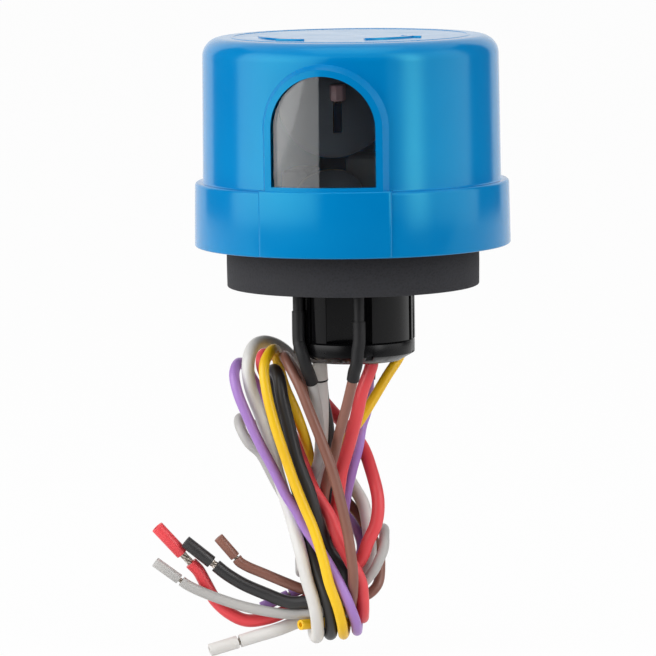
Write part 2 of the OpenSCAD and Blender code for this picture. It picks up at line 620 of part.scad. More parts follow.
// a sleeve runs down the neck from the flange and bends to the start of its lead
module sleeve(az, joint, mid) {
  color([0.06, 0.06, 0.07]) in_leads()
    tube(concat([spin(az, sleeve_r, lip_t - lead_dz), spin(az, sleeve_r, -6), spin(az, sleeve_r, -13)],
      mid, [joint[0] - 2.4 * unit(joint[1]), joint[0]]), sleeve_od, [0, 0, -1]);
}

module grey_sleeve() {
  sleeve(grey_az, grey_joint, [[-14.4, -11.1, -15], [-13.5, -11.8, -18], [-12.6, -10.4, -21.3]]);
}
module brown_sleeve() { sleeve(brown_az, brown_joint, [[0.9, -18, -15.5], [0.5, -17.5, -19.3]]); }
module yellow_sleeve() { sleeve(yellow_az, yellow_joint, []); }
module purple_sleeve() { sleeve(purple_az, purple_joint, [[5.5, 17.2, -18], [5, 15.8, -21.6]]); }

module white_sleeve() {
  color([0.85, 0.84, 0.8]) in_leads()
    tube([[-9.2, 1.6, -20], [-9.2, 1.8, -22.4], white_joint[0] - 2 * unit(white_joint[1]), white_joint[0]],
      white_sleeve_od, [0, 0, -1]);
}

module lead(p, d, t0, rgb) {
  color(rgb) in_leads() tube(p, d, t0);
}

red = [0.8, 0.06, 0.07];
black = [0.04, 0.04, 0.04];
white = [0.88, 0.88, 0.86];
yellow = [0.93, 0.7, 0.02];
brown = [0.4, 0.2, 0.13];
grey = [0.5, 0.5, 0.48];
purple = [0.47, 0.3, 0.66];
copper = [0.72, 0.7, 0.68];

red_path = concat([[4.5, -2, -20]], hang(red_pts));
black_path = concat([[-9.2, 7.2, -20]], hang(black_pts));
white_path = concat([white_joint[0]], hang(white_pts));
yellow_path = concat([yellow_joint[0]], hang(yellow_pts));
brown_path = concat([brown_joint[0]], hang(brown_pts));
grey_path = concat([grey_joint[0]], hang(grey_pts));
purple_path = concat([purple_joint[0]], hang(purple_pts));

module red_lead() { lead(red_path, thick_od, [0, 0, -1], red); }
module black_lead() { lead(black_path, thick_od, [0, 0, -1], black); }
module white_lead() { lead(white_path, thick_od, white_joint[1], white); }
module yellow_lead() { lead(yellow_path, thin_od, yellow_joint[1], yellow); }
module brown_lead() { lead(brown_path, thin_od, brown_joint[1], brown); }
module grey_lead() { lead(grey_path, thin_od, grey_joint[1], grey); }
module purple_lead() { lead(purple_path, thin_od, purple_joint[1], purple); }

// stripped ends: bare strands, then the loose slug of insulation
red_bare = 3.5;
black_bare = 1.5;
white_bare = 0.6;
yellow_bare = 0.6;
brown_bare = 0.6;
grey_bare = 0.8;
purple_bare = 0.6;
thick_core = 2;
thin_core = 1.3;
mouth = 2.5;

module bare(p, length, d) {
  color(copper) in_leads() rod(last(p), end_dir(p), 0, length, d);
}

module slug(p, from, length, d, core, rgb) {
  color(rgb) in_leads() difference() {
    rod(last(p), end_dir(p), from, length, d);
    rod(last(p), end_dir(p), from + length - mouth, mouth + 1, core);
  }
}

module red_conductor() { bare(red_path, red_bare, thick_core); }
module black_conductor() { bare(black_path, black_bare, thick_core); }
module white_conductor() { bare(white_path, white_bare, thick_core); }
module yellow_conductor() { bare(yellow_path, yellow_bare, thin_core); }
module brown_conductor() { bare(brown_path, brown_bare, thin_core); }
module grey_conductor() { bare(grey_path, grey_bare, thin_core); }
module purple_conductor() { bare(purple_path, purple_bare, thin_core); }

module red_slug() { slug(red_path, red_bare, slug_l + 2, thick_od, thick_core, red); }
module black_slug() { slug(black_path, black_bare, slug_l + 1, thick_od, thick_core, black); }
module white_slug() { slug(white_path, white_bare, slug_l, thick_od, thick_core, white); }
module yellow_slug() { slug(yellow_path, yellow_bare, slug_l - 3, thin_od, thin_core, yellow); }
module brown_slug() { slug(brown_path, brown_bare, slug_l - 1, thin_od, thin_core, brown); }
module grey_slug() { slug(grey_path, grey_bare, slug_l, thin_od, thin_core, grey); }
module purple_slug() { slug(purple_path, purple_bare, slug_l, thin_od, thin_core, purple); }

cover();
window_pane();
sensor_shield();
photo_sensor();
sensor_legs();
circuit_board();
relay();
film_capacitor();
reservoir_capacitor();
varistor();
base_plate();
line_blade();
load_blade();
neutral_blade();
signal_contacts();
base_screws();
gasket();
socket_body();
line_clip();
load_clip();
neutral_clip();
signal_pads();
wire_cap();
grey_sleeve();
brown_sleeve();
yellow_sleeve();
purple_sleeve();
white_sleeve();
red_lead();
black_lead();
white_lead();
yellow_lead();
brown_lead();
grey_lead();
purple_lead();
red_conductor();
black_conductor();
white_conductor();
yellow_conductor();
brown_conductor();
grey_conductor();
purple_conductor();
red_slug();
black_slug();
white_slug();
yellow_slug();
brown_slug();
grey_slug();
purple_slug();
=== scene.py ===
# %% [markdown]
# Twist-lock photocell switch on its seven-lead receptacle.
#
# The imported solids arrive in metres, in the frame of the CAD model: the window faces -Y, +Z is up and
# the origin is the centre of the gasket underside. The lesson keeps every solid whose shape is already
# right, models the visible pieces again with soft edges, and gives each of them a procedural finish.

# %% Load the frame
import json
import math

import bmesh
import bpy
from mathutils import Matrix, Vector
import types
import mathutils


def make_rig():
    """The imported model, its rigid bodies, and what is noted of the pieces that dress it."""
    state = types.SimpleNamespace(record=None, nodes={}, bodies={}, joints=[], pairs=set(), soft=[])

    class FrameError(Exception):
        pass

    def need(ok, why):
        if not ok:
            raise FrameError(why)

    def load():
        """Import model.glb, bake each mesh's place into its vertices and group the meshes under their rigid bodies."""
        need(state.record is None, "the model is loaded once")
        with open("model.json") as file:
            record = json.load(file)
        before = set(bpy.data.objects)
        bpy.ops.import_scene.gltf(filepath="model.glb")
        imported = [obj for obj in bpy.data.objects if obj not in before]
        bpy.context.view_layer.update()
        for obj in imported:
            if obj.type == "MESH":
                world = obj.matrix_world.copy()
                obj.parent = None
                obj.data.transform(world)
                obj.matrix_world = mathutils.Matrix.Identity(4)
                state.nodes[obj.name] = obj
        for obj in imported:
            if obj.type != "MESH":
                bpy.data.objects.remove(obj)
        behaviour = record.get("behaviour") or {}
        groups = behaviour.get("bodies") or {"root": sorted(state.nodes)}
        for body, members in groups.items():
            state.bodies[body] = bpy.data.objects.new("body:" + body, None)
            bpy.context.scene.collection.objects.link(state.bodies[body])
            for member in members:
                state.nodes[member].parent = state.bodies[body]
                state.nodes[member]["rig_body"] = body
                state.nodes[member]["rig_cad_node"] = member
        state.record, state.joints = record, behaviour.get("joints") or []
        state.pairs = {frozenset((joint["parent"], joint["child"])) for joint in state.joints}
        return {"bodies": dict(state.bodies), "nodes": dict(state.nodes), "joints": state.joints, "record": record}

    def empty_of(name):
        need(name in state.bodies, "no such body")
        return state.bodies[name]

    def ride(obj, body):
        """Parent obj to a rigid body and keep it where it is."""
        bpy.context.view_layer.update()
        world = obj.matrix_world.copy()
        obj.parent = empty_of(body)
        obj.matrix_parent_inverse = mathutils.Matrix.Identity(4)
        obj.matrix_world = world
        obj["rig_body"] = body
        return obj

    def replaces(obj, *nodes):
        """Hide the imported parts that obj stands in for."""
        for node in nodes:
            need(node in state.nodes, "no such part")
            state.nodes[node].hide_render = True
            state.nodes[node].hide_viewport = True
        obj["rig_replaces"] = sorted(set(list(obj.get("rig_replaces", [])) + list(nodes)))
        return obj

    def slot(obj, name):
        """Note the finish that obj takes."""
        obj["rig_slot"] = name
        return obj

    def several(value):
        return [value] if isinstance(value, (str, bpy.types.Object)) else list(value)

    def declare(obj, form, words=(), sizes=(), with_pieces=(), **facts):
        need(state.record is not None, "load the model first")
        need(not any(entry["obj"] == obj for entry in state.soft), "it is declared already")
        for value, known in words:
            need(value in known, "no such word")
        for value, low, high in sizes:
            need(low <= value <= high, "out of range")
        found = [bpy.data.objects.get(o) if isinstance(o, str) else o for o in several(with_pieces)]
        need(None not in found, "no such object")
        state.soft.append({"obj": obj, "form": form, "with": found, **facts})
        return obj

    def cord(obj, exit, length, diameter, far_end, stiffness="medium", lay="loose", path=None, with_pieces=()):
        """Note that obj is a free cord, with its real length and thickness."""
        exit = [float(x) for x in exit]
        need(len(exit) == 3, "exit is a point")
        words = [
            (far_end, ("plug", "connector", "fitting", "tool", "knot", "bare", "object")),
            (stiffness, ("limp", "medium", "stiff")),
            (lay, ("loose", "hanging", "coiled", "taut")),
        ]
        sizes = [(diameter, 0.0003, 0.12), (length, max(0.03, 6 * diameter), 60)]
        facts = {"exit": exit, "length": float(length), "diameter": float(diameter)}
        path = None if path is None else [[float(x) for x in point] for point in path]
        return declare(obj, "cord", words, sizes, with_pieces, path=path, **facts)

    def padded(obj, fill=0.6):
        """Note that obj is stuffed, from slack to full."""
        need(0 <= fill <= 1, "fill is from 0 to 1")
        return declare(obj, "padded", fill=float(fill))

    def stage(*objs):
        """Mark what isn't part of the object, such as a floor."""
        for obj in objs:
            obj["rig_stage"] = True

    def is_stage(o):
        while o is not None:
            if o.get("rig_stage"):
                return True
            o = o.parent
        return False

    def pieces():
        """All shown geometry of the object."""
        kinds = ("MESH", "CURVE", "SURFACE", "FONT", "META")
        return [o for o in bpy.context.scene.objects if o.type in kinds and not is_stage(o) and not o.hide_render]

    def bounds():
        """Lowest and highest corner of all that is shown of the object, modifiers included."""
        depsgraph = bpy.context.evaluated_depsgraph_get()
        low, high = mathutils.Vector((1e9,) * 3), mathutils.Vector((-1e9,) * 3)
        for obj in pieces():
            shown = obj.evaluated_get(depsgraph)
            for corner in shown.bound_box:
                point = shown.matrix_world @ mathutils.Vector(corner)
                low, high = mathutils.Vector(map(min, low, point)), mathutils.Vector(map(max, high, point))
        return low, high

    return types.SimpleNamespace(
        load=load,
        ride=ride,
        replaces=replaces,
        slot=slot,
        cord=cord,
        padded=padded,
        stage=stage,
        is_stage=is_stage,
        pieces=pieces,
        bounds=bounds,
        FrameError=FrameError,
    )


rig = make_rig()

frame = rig.load()
cad_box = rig.bounds()
nodes = frame["nodes"]
bpy.ops.object.select_all(action="DESELECT")
MM = 0.001
print("CAD box in mm", [round(v / MM, 1) for corner in cad_box for v in corner])

# %% [markdown]
# The receptacle is turned a little about the twist axis against the window. The leads and the camera
# were laid out square to the receptacle, so their places are written in that turned frame and brought
# back into the row frame by one rotation.

# %% The receptacle's own frame
SOCKET_TURN = math.radians(11)
TURN = Matrix.Rotation(SOCKET_TURN, 4, "Z")


def in_row(point):
    """A point in millimetres in the receptacle's frame, as metres in the row frame."""
    return TURN @ (Vector(point) * MM)


# %% [markdown]
# The photograph was taken from far away, slightly from above, so a long lens with a narrow view keeps
# the top of the cap as flat as it looks there. The camera is pitched down and rolled by a hair.

# %% Camera
CAMERA_PLACE = (-6.9, -1400, 148.5)
CAMERA_PITCH = math.radians(6.525)
CAMERA_ROLL = math.radians(0.75)
SENSOR = 36
PHOTO_WIDTH = 656
FOCAL_PIXELS = 5285

bpy.ops.object.camera_add()
camera = bpy.context.object
camera.name = "photo_camera"
camera.data.sensor_width = SENSOR
camera.data.lens = FOCAL_PIXELS / PHOTO_WIDTH * SENSOR
camera.data.clip_end = 50
level = Matrix.Rotation(math.radians(90) - CAMERA_PITCH, 4, "X")
roll = Matrix.Rotation(-CAMERA_ROLL, 4, "Z")
camera.matrix_world = Matrix.Translation(in_row(CAMERA_PLACE)) @ TURN @ level @ roll
bpy.context.scene.camera = camera
print("lens", round(camera.data.lens, 1), "mm")

# %% [markdown]
# Colours are written as the eye reads them, from 0 to 255, and turned into the linear values that the
# shaders work with.

# %% Colour helper


def tone(red, green, blue):
    """A display colour as the linear colour of a socket."""
    channels = [c / 255 for c in (red, green, blue)]
    return tuple(c / 12.92 if c <= 0.04045 else ((c + 0.055) / 1.055) ** 2.4 for c in channels) + (1,)


# %% [markdown]
# Small helpers for node trees. A group gets its sockets from its interface, and its nodes are linked by
# the names of their sockets, so that each effect below reads as a short list of steps.

# %% Node helpers


def node(tree, kind, **inputs):
    """A new shader node, with settings for its own fields and values for its sockets."""
    made = tree.nodes.new(f"ShaderNode{kind}")
    for name, value in inputs.items():
        if name in made.inputs:
            made.inputs[name].default_value = value
        else:
            setattr(made, name, value)
    return made


def ranged(tree, low=0.0, high=1.0, out_low=0.0, out_high=1.0, **settings):
    """A node that maps one range of values on to another."""
    limits = {"From Min": low, "From Max": high, "To Min": out_low, "To Max": out_high}
    return node(tree, "MapRange", **limits, **settings)


def maths(tree, operation, second=0.5):
    """A node that works out one operation, with a value for its second socket."""
    made = node(tree, "Math", operation=operation)
    made.inputs[1].default_value = second
    return made


def wire(source, out, target, into):
    """Link an output of one node to an input of another."""
    source.id_data.links.new(source.outputs[out], target.inputs[into])


def new_material(name, **constants):
    """A new material, its node tree and its shader, with constants on the shader's own sockets."""
    material = bpy.data.materials.new(name)
    material.use_nodes = True
    shader = material.node_tree.nodes["Principled BSDF"]
    for label, value in constants.items():
        shader.inputs[label.replace("_", " ")].default_value = value
    return material, material.node_tree, shader


def group(name, inputs):
    """A node group for a skin, with its sockets, and its two end nodes."""
    tree = bpy.data.node_groups.new(name, "ShaderNodeTree")
    for label, kind, value in inputs:
        socket = tree.interface.new_socket(label, in_out="INPUT", socket_type=kind)
        socket.default_value = value
    for label, kind in SKIN:
        tree.interface.new_socket(label, in_out="OUTPUT", socket_type=kind)
    return tree, tree.nodes.new("NodeGroupInput"), tree.nodes.new("NodeGroupOutput")


COLOUR, VALUE = "NodeSocketColor", "NodeSocketFloat"
SKIN = (("Colour", COLOUR), ("Roughness", VALUE), ("Height", VALUE))
# A Mix node has several sockets of one name, so its colour sockets are called by number.
MIX_A, MIX_B, MIX_OUT = 6, 7, 2

# %% [markdown]
# Moulded plastic is never one flat colour. The pigment clouds a little over a few centimetres, the gloss
# changes where the tool was polished or handled, and the skin has a fine ripple from the mould. One
# group makes all three from Object coordinates, so each moulding only chooses its own values.

# %% Group: moulded skin


def make_moulded_skin():
    tree, given, result = group(
        "moulded_skin",
        [("Colour", COLOUR, (0.5, 0.5, 0.5, 1)), ("Cloud", COLOUR, (0.4, 0.4, 0.4, 1)),
         ("Smooth", VALUE, 0.2), ("Worn", VALUE, 0.4), ("Ripple Scale", VALUE, 900.0)])
    place = node(tree, "TexCoord")
    cloud = node(tree, "TexNoise", Scale=35.0, Detail=3.0)
    patch = node(tree, "TexNoise", Scale=110.0, Detail=5.0, Roughness=0.65)
    ripple = node(tree, "TexNoise", Detail=2.0)
    mix = node(tree, "Mix", data_type="RGBA")
    span = ranged(tree, 0.35, 0.7)
    gloss = ranged(tree, 0.3, 0.75)
    for texture in (cloud, patch, ripple):
        wire(place, "Object", texture, "Vector")
    wire(given, "Ripple Scale", ripple, "Scale")
    wire(cloud, "Fac", span, "Value")
    wire(span, "Result", mix, "Factor")
    wire(given, "Colour", mix, MIX_A)
    wire(given, "Cloud", mix, MIX_B)
    wire(patch, "Fac", gloss, "Value")
    wire(given, "Smooth", gloss, "To Min")
    wire(given, "Worn", gloss, "To Max")
    wire(mix, MIX_OUT, result, "Colour")
    wire(gloss, "Result", result, "Roughness")
    wire(ripple, "Fac", result, "Height")
    return tree


moulded_skin = make_moulded_skin()
print(moulded_skin.name, len(moulded_skin.nodes), "nodes")

# %% [markdown]
# Closed-cell foam is matte and full of tiny cut bubbles. A cell pattern gives the pores their depth and a
# slightly darker colour, which is painted shade in the pores, and a slow cloud keeps the ring from looking
# like one flat grey.

# %% Group: foam cells


def make_foam_cells():
    tree, given, result = group(
        "foam_cells",
        [("Colour", COLOUR, (0.1, 0.1, 0.1, 1)), ("Pore Shade", COLOUR, (0.05, 0.05, 0.05, 1)),
         ("Cell Scale", VALUE, 1500.0)])
    place = node(tree, "TexCoord")
    cells = node(tree, "TexVoronoi")
    cloud = node(tree, "TexNoise", Scale=60.0, Detail=6.0)
    # The cell mask that sinks the pores also darkens their colour: painted shade in the pores.
    pits = ranged(tree, high=0.6)
    mix = node(tree, "Mix", data_type="RGBA")
    blend = maths(tree, "MULTIPLY")
    dull = ranged(tree, out_low=0.82, out_high=0.98)
    for texture in (cells, cloud):
        wire(place, "Object", texture, "Vector")
    wire(given, "Cell Scale", cells, "Scale")
    wire(cells, "Distance", pits, "Value")
    wire(pits, "Result", blend, 0)
    wire(cloud, "Fac", blend, 1)
    wire(blend, "Value", mix, "Factor")
    wire(given, "Pore Shade", mix, MIX_A)
    wire(given, "Colour", mix, MIX_B)
    wire(cloud, "Fac", dull, "Value")
    wire(mix, MIX_OUT, result, "Colour")
    wire(dull, "Result", result, "Roughness")
    wire(pits, "Result", result, "Height")
    return tree


foam_cells = make_foam_cells()
print(foam_cells.name, len(foam_cells.nodes), "nodes")

# %% [markdown]
# Bare metal shows the stamping or drawing direction as fine streaks, with a warm or dull cloud of tarnish.

# %% Group: drawn metal


def make_drawn_metal():
    tree, given, result = group(
        "drawn_metal",
        [("Colour", COLOUR, (0.7, 0.7, 0.7, 1)), ("Tarnish", COLOUR, (0.4, 0.4, 0.4, 1)),
         ("Bright", VALUE, 0.2), ("Dull", VALUE, 0.5)])
    place = node(tree, "TexCoord")
    stretch = node(tree, "Mapping", Scale=(900.0, 900.0, 60.0))
    streak = node(tree, "TexNoise", Scale=1.0, Detail=3.0)
    cloud = node(tree, "TexNoise", Scale=180.0, Detail=4.0)
    mix = node(tree, "Mix", data_type="RGBA")
    gloss = ranged(tree)
    wire(place, "Object", stretch, "Vector")
    wire(stretch, "Vector", streak, "Vector")
    wire(place, "Object", cloud, "Vector")
    wire(cloud, "Fac", mix, "Factor")
    wire(given, "Colour", mix, MIX_A)
    wire(given, "Tarnish", mix, MIX_B)
    wire(streak, "Fac", gloss, "Value")
    wire(given, "Bright", gloss, "To Min")
    wire(given, "Dull", gloss, "To Max")
    wire(mix, MIX_OUT, result, "Colour")
    wire(gloss, "Result", result, "Roughness")
    wire(streak, "Fac", result, "Height")
    return tree


drawn_metal = make_drawn_metal()
print(drawn_metal.name, len(drawn_metal.nodes), "nodes")

# %% [markdown]
# Each finish is one Principled BSDF with one of the groups in front of it. Plain constants, such as the
# tint of the gloss, are set on the shader's own sockets.

# %% Finish builder
RIPPLE_DEPTH, STREAK_DEPTH, PORE_DEPTH = 0.0001, 0.00005, 0.00012
STREAK_BUMP, PORE_BUMP = 0.1, 0.5


def finish(name, effect, bump, depth, values, **constants):
    """A material whose colour, roughness and bump come from a group; constants go on the shader."""
    material, tree, shader = new_material(name, **constants)
    skin = node(tree, "Group", node_tree=effect)
    for label, value in values.items():
        skin.inputs[label].default_value = value
    relief = node(tree, "Bump", Strength=bump, Distance=depth)
    wire(skin, "Colour", shader, "Base Color")
    wire(skin, "Roughness", shader, "Roughness")
    wire(skin, "Height", relief, "Height")
    wire(relief, "Normal", shader, "Normal")
    return material


def moulding(name, colour, cloud, smooth, worn, ripple=900.0, bump=0.08, **constants):
    """Moulded plastic or soft insulation, in two tones and between two degrees of gloss."""
    values = {"Colour": tone(*colour), "Cloud": tone(*cloud), "Smooth": smooth, "Worn": worn,
              "Ripple Scale": ripple}
    return finish(name, moulded_skin, bump, RIPPLE_DEPTH, values, **constants)


def metal(name, colour, tarnish, bright, dull):
    """Bare metal, in two tones and between two degrees of gloss."""
    values = {"Colour": tone(*colour), "Tarnish": tone(*tarnish), "Bright": bright, "Dull": dull}
    return finish(name, drawn_metal, STREAK_BUMP, STREAK_DEPTH, values, Metallic=1.0)


# %% [markdown]
# The clear pane is polycarbonate: a little grey, very smooth, with the faintest waviness, so that the
# studio boxes mirror in it with a clean edge.

# %% Clear pane finish


def make_clear_pane():
    material, tree, shader = new_material("clear_pane", Base_Color=tone(236, 240, 242),
                                          Transmission_Weight=1.0, IOR=1.58)
    place = node(tree, "TexCoord")
    smear = node(tree, "TexNoise", Scale=90.0, Detail=4.0)
    haze = ranged(tree, 0.45, 0.8, 0.01, 0.05)
    wire(place, "Object", smear, "Vector")
    wire(smear, "Fac", haze, "Value")
    wire(haze, "Result", shader, "Roughness")
    return material


# %% [markdown]
# One finish for each material slot of the record. The leads share one recipe, soft insulation with a
# faint cloud in its colour, and differ only in pigment.

# %% All finishes
LEAD_TONES = {
    "red": ((238, 76, 82), (226, 66, 73)),
    "black": ((44, 43, 44), (34, 33, 34)),
    "white": ((230, 229, 226), (219, 217, 213)),
    "yellow": ((250, 203, 20), (240, 188, 14)),
    "brown": ((138, 92, 78), (124, 80, 67)),
    "grey": ((190, 188, 185), (179, 177, 174)),
    "purple": ((176, 134, 208), (165, 121, 197)),
}
finishes = {
    "cover_blue": moulding("cover_blue", (0, 132, 198), (0, 126, 193), 0.14, 0.2, 700.0, 0.04,
                           Specular_Tint=(0.2, 1.0, 0.8, 1), Specular_IOR_Level=0.45),
    "clear_pane": make_clear_pane(),
    "inner_black": moulding("inner_black", (46, 53, 62), (38, 44, 52), 0.42, 0.6),
    "sensor_rose": moulding("sensor_rose", (186, 146, 144), (160, 120, 120), 0.08, 0.16),
    "board_green": moulding("board_green", (26, 84, 52), (20, 70, 44), 0.35, 0.5),
    "relay_white": moulding("relay_white", (214, 211, 202), (204, 200, 190), 0.35, 0.5),
    "capacitor_case": moulding("capacitor_case", (84, 88, 94), (74, 78, 84), 0.25, 0.4),
    "varistor_epoxy": moulding("varistor_epoxy", (96, 100, 106), (80, 84, 90), 0.25, 0.4, 500.0, 0.2),
    "contact_brass": metal("contact_brass", (206, 170, 92), (176, 138, 72), 0.2, 0.4),
    "screw_steel": metal("screw_steel", (176, 178, 182), (150, 150, 150), 0.22, 0.42),
    "tinned_wire": metal("tinned_wire", (206, 202, 196), (186, 172, 156), 0.2, 0.42),
    # The darker pore tone of the foam is painted shade in its pores.
    "gasket_foam": finish("gasket_foam", foam_cells, PORE_BUMP, PORE_DEPTH,
                          {"Colour": tone(52, 52, 56), "Pore Shade": tone(38, 38, 41), "Cell Scale": 1500.0}),
    "socket_black": moulding("socket_black", (10, 10, 12), (7, 7, 8), 0.2, 0.34, 400.0, 0.03,
                             Specular_IOR_Level=0.2),
    "sleeve_black": moulding("sleeve_black", (18, 18, 20), (13, 13, 15), 0.5, 0.66, 600.0, 0.05,
                             Specular_IOR_Level=0.35),
    "sleeve_white": moulding("sleeve_white", (226, 223, 218), (206, 202, 196), 0.4, 0.55, 600.0, 0.05),
}
for pigment, (colour, cloud) in LEAD_TONES.items():
    slot_name = f"lead_{pigment}"
    finishes[slot_name] = moulding(slot_name, colour, cloud, 0.36, 0.5, 500.0, 0.03)
slot_of = {part["node"]: part["material_slot"] for part in frame["record"]["subparts"]}
for name, solid in nodes.items():
    solid.data.materials.clear()
    solid.data.materials.append(finishes[slot_of[name]])
print(len(finishes), "finishes on", len(nodes), "solids")

# %% [markdown]
# Helpers for modelling by hand. A primitive is added with nothing else selected, its place goes into its
# mesh, and edit mode follows. Parts of the mesh are then picked in code by their place or direction.

# %% Modelling helpers
SAME_PLACE = 0.002


def begin(add, **size):
    """Add a primitive on its own and go into edit mode on it."""
    bpy.ops.object.select_all(action="DESELECT")
    add(**size)
    bpy.ops.object.transform_apply(location=True, rotation=True, scale=True)
    bpy.ops.object.mode_set(mode="EDIT")
    return bpy.context.object


def pick(kind, test):
    """In edit mode, select only the vertices, edges or faces that pass the test."""
    obj = bpy.context.edit_object
    bpy.ops.mesh.select_mode(type=kind)
    bpy.ops.mesh.select_all(action="DESELECT")
    mesh = bmesh.from_edit_mesh(obj.data)
    for part in {"VERT": mesh.verts, "EDGE": mesh.edges, "FACE": mesh.faces}[kind]:
        part.select_set(bool(test(part)))
    bmesh.update_edit_mesh(obj.data)


def reshape(move):
    """In edit mode, give every vertex the place that the function returns."""
    obj = bpy.context.edit_object
    mesh = bmesh.from_edit_mesh(obj.data)
    for vert in mesh.verts:
        vert.co = move(vert.co)
    bmesh.update_edit_mesh(obj.data)


def sharp(edge, angle=35):
    """An edge between two faces that meet at more than the angle."""
    return len(edge.link_faces) == 2 and edge.calc_face_angle() > math.radians(angle)


def round_edges(width, segments, test=sharp):
    """In edit mode, round the edges that pass the test, by a width in millimetres."""
    pick("EDGE", test)
    bpy.ops.mesh.bevel(offset=width * MM, segments=segments, affect="EDGES")


def pull(x, y, z):
    """In edit mode, extrude what is selected and move it, in millimetres."""
    bpy.ops.mesh.extrude_region_move(TRANSFORM_OT_translate={"value": (x * MM, y * MM, z * MM)})


def pull_all(x, y, z):
    """The same for the whole mesh."""
    bpy.ops.mesh.select_all(action="SELECT")
    pull(x, y, z)


def merge_near(distance):
    """In edit mode, merge all points that lie closer than a distance in millimetres."""
    bpy.ops.mesh.select_all(action="SELECT")
    bpy.ops.mesh.remove_doubles(threshold=distance * MM)


def leave_edit():
    """Turn all faces outwards and go back to object mode."""
    bpy.ops.mesh.select_all(action="SELECT")
    bpy.ops.mesh.normals_make_consistent(inside=False)
    bpy.ops.object.mode_set(mode="OBJECT")


def shade(angle):
    """Shade what is selected smooth, except at edges sharper than an angle in degrees."""
    bpy.ops.object.shade_smooth_by_angle(angle=math.radians(angle))


def alone(*objects):
    """Select only these objects, with the last as the active one."""
    bpy.ops.object.select_all(action="DESELECT")
    for obj in objects:
        obj.select_set(True)
    bpy.context.view_layer.objects.active = objects[-1]


def complete(obj, name, body, slot, *stands_for, smooth=35, place=None):
    """Close the modelling of a piece: clean it, shade it, place it, give it its finish and its CAD body."""
    merge_near(SAME_PLACE)
    leave_edit()
    shade(smooth)
    if place:
        obj.data.transform(place)
    dress(obj, name, body, slot, *stands_for)
    return obj


def dress(obj, name, body, slot, *stands_for):
    """Give a piece its name, its finish, its CAD body and the solids that it stands for."""
    obj.name = name
    obj.data.materials.clear()
    obj.data.materials.append(finishes[slot])
    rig.ride(obj, body)
    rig.slot(obj, slot)
    if stands_for:
        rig.replaces(obj, *stands_for)


def modify(obj, kind, **settings):
    """Add a modifier with its settings and apply it at once."""
    modifier = obj.modifiers.new(kind.lower(), kind)
    for field, value in settings.items():
        setattr(modifier, field, value)
    bpy.context.view_layer.objects.active = obj
    bpy.ops.object.modifier_apply(modifier=modifier.name)


def arc(cx, cz, r, start, stop, steps):
    """Points of a round stretch in a profile, as (radius, height)."""
    angles = [math.radians(start + (stop - start) * k / steps) for k in range(steps + 1)]
    return [(cx + r * math.cos(a), cz + r * math.sin(a)) for a in angles]


def turn(rings, segments=192, closed=False):
    """A turned shell: one circle, extruded from each (radius, height) to the next and resized."""
    r, z = rings[0]
    obj = begin(bpy.ops.mesh.primitive_circle_add, vertices=segments, radius=r * MM,
                location=(0, 0, z * MM))
    first = [(round(r, 6), round(z, 6))]
    for r_next, z_next in rings[1:] + (first if closed else []):
        bpy.ops.mesh.extrude_edges_move(TRANSFORM_OT_translate={"value": (0, 0, (z_next - z) * MM)})
        grow = r_next / r
        bpy.ops.transform.resize(value=(grow, grow, 1), center_override=(0, 0, z_next * MM))
        r, z = r_next, z_next
    return obj
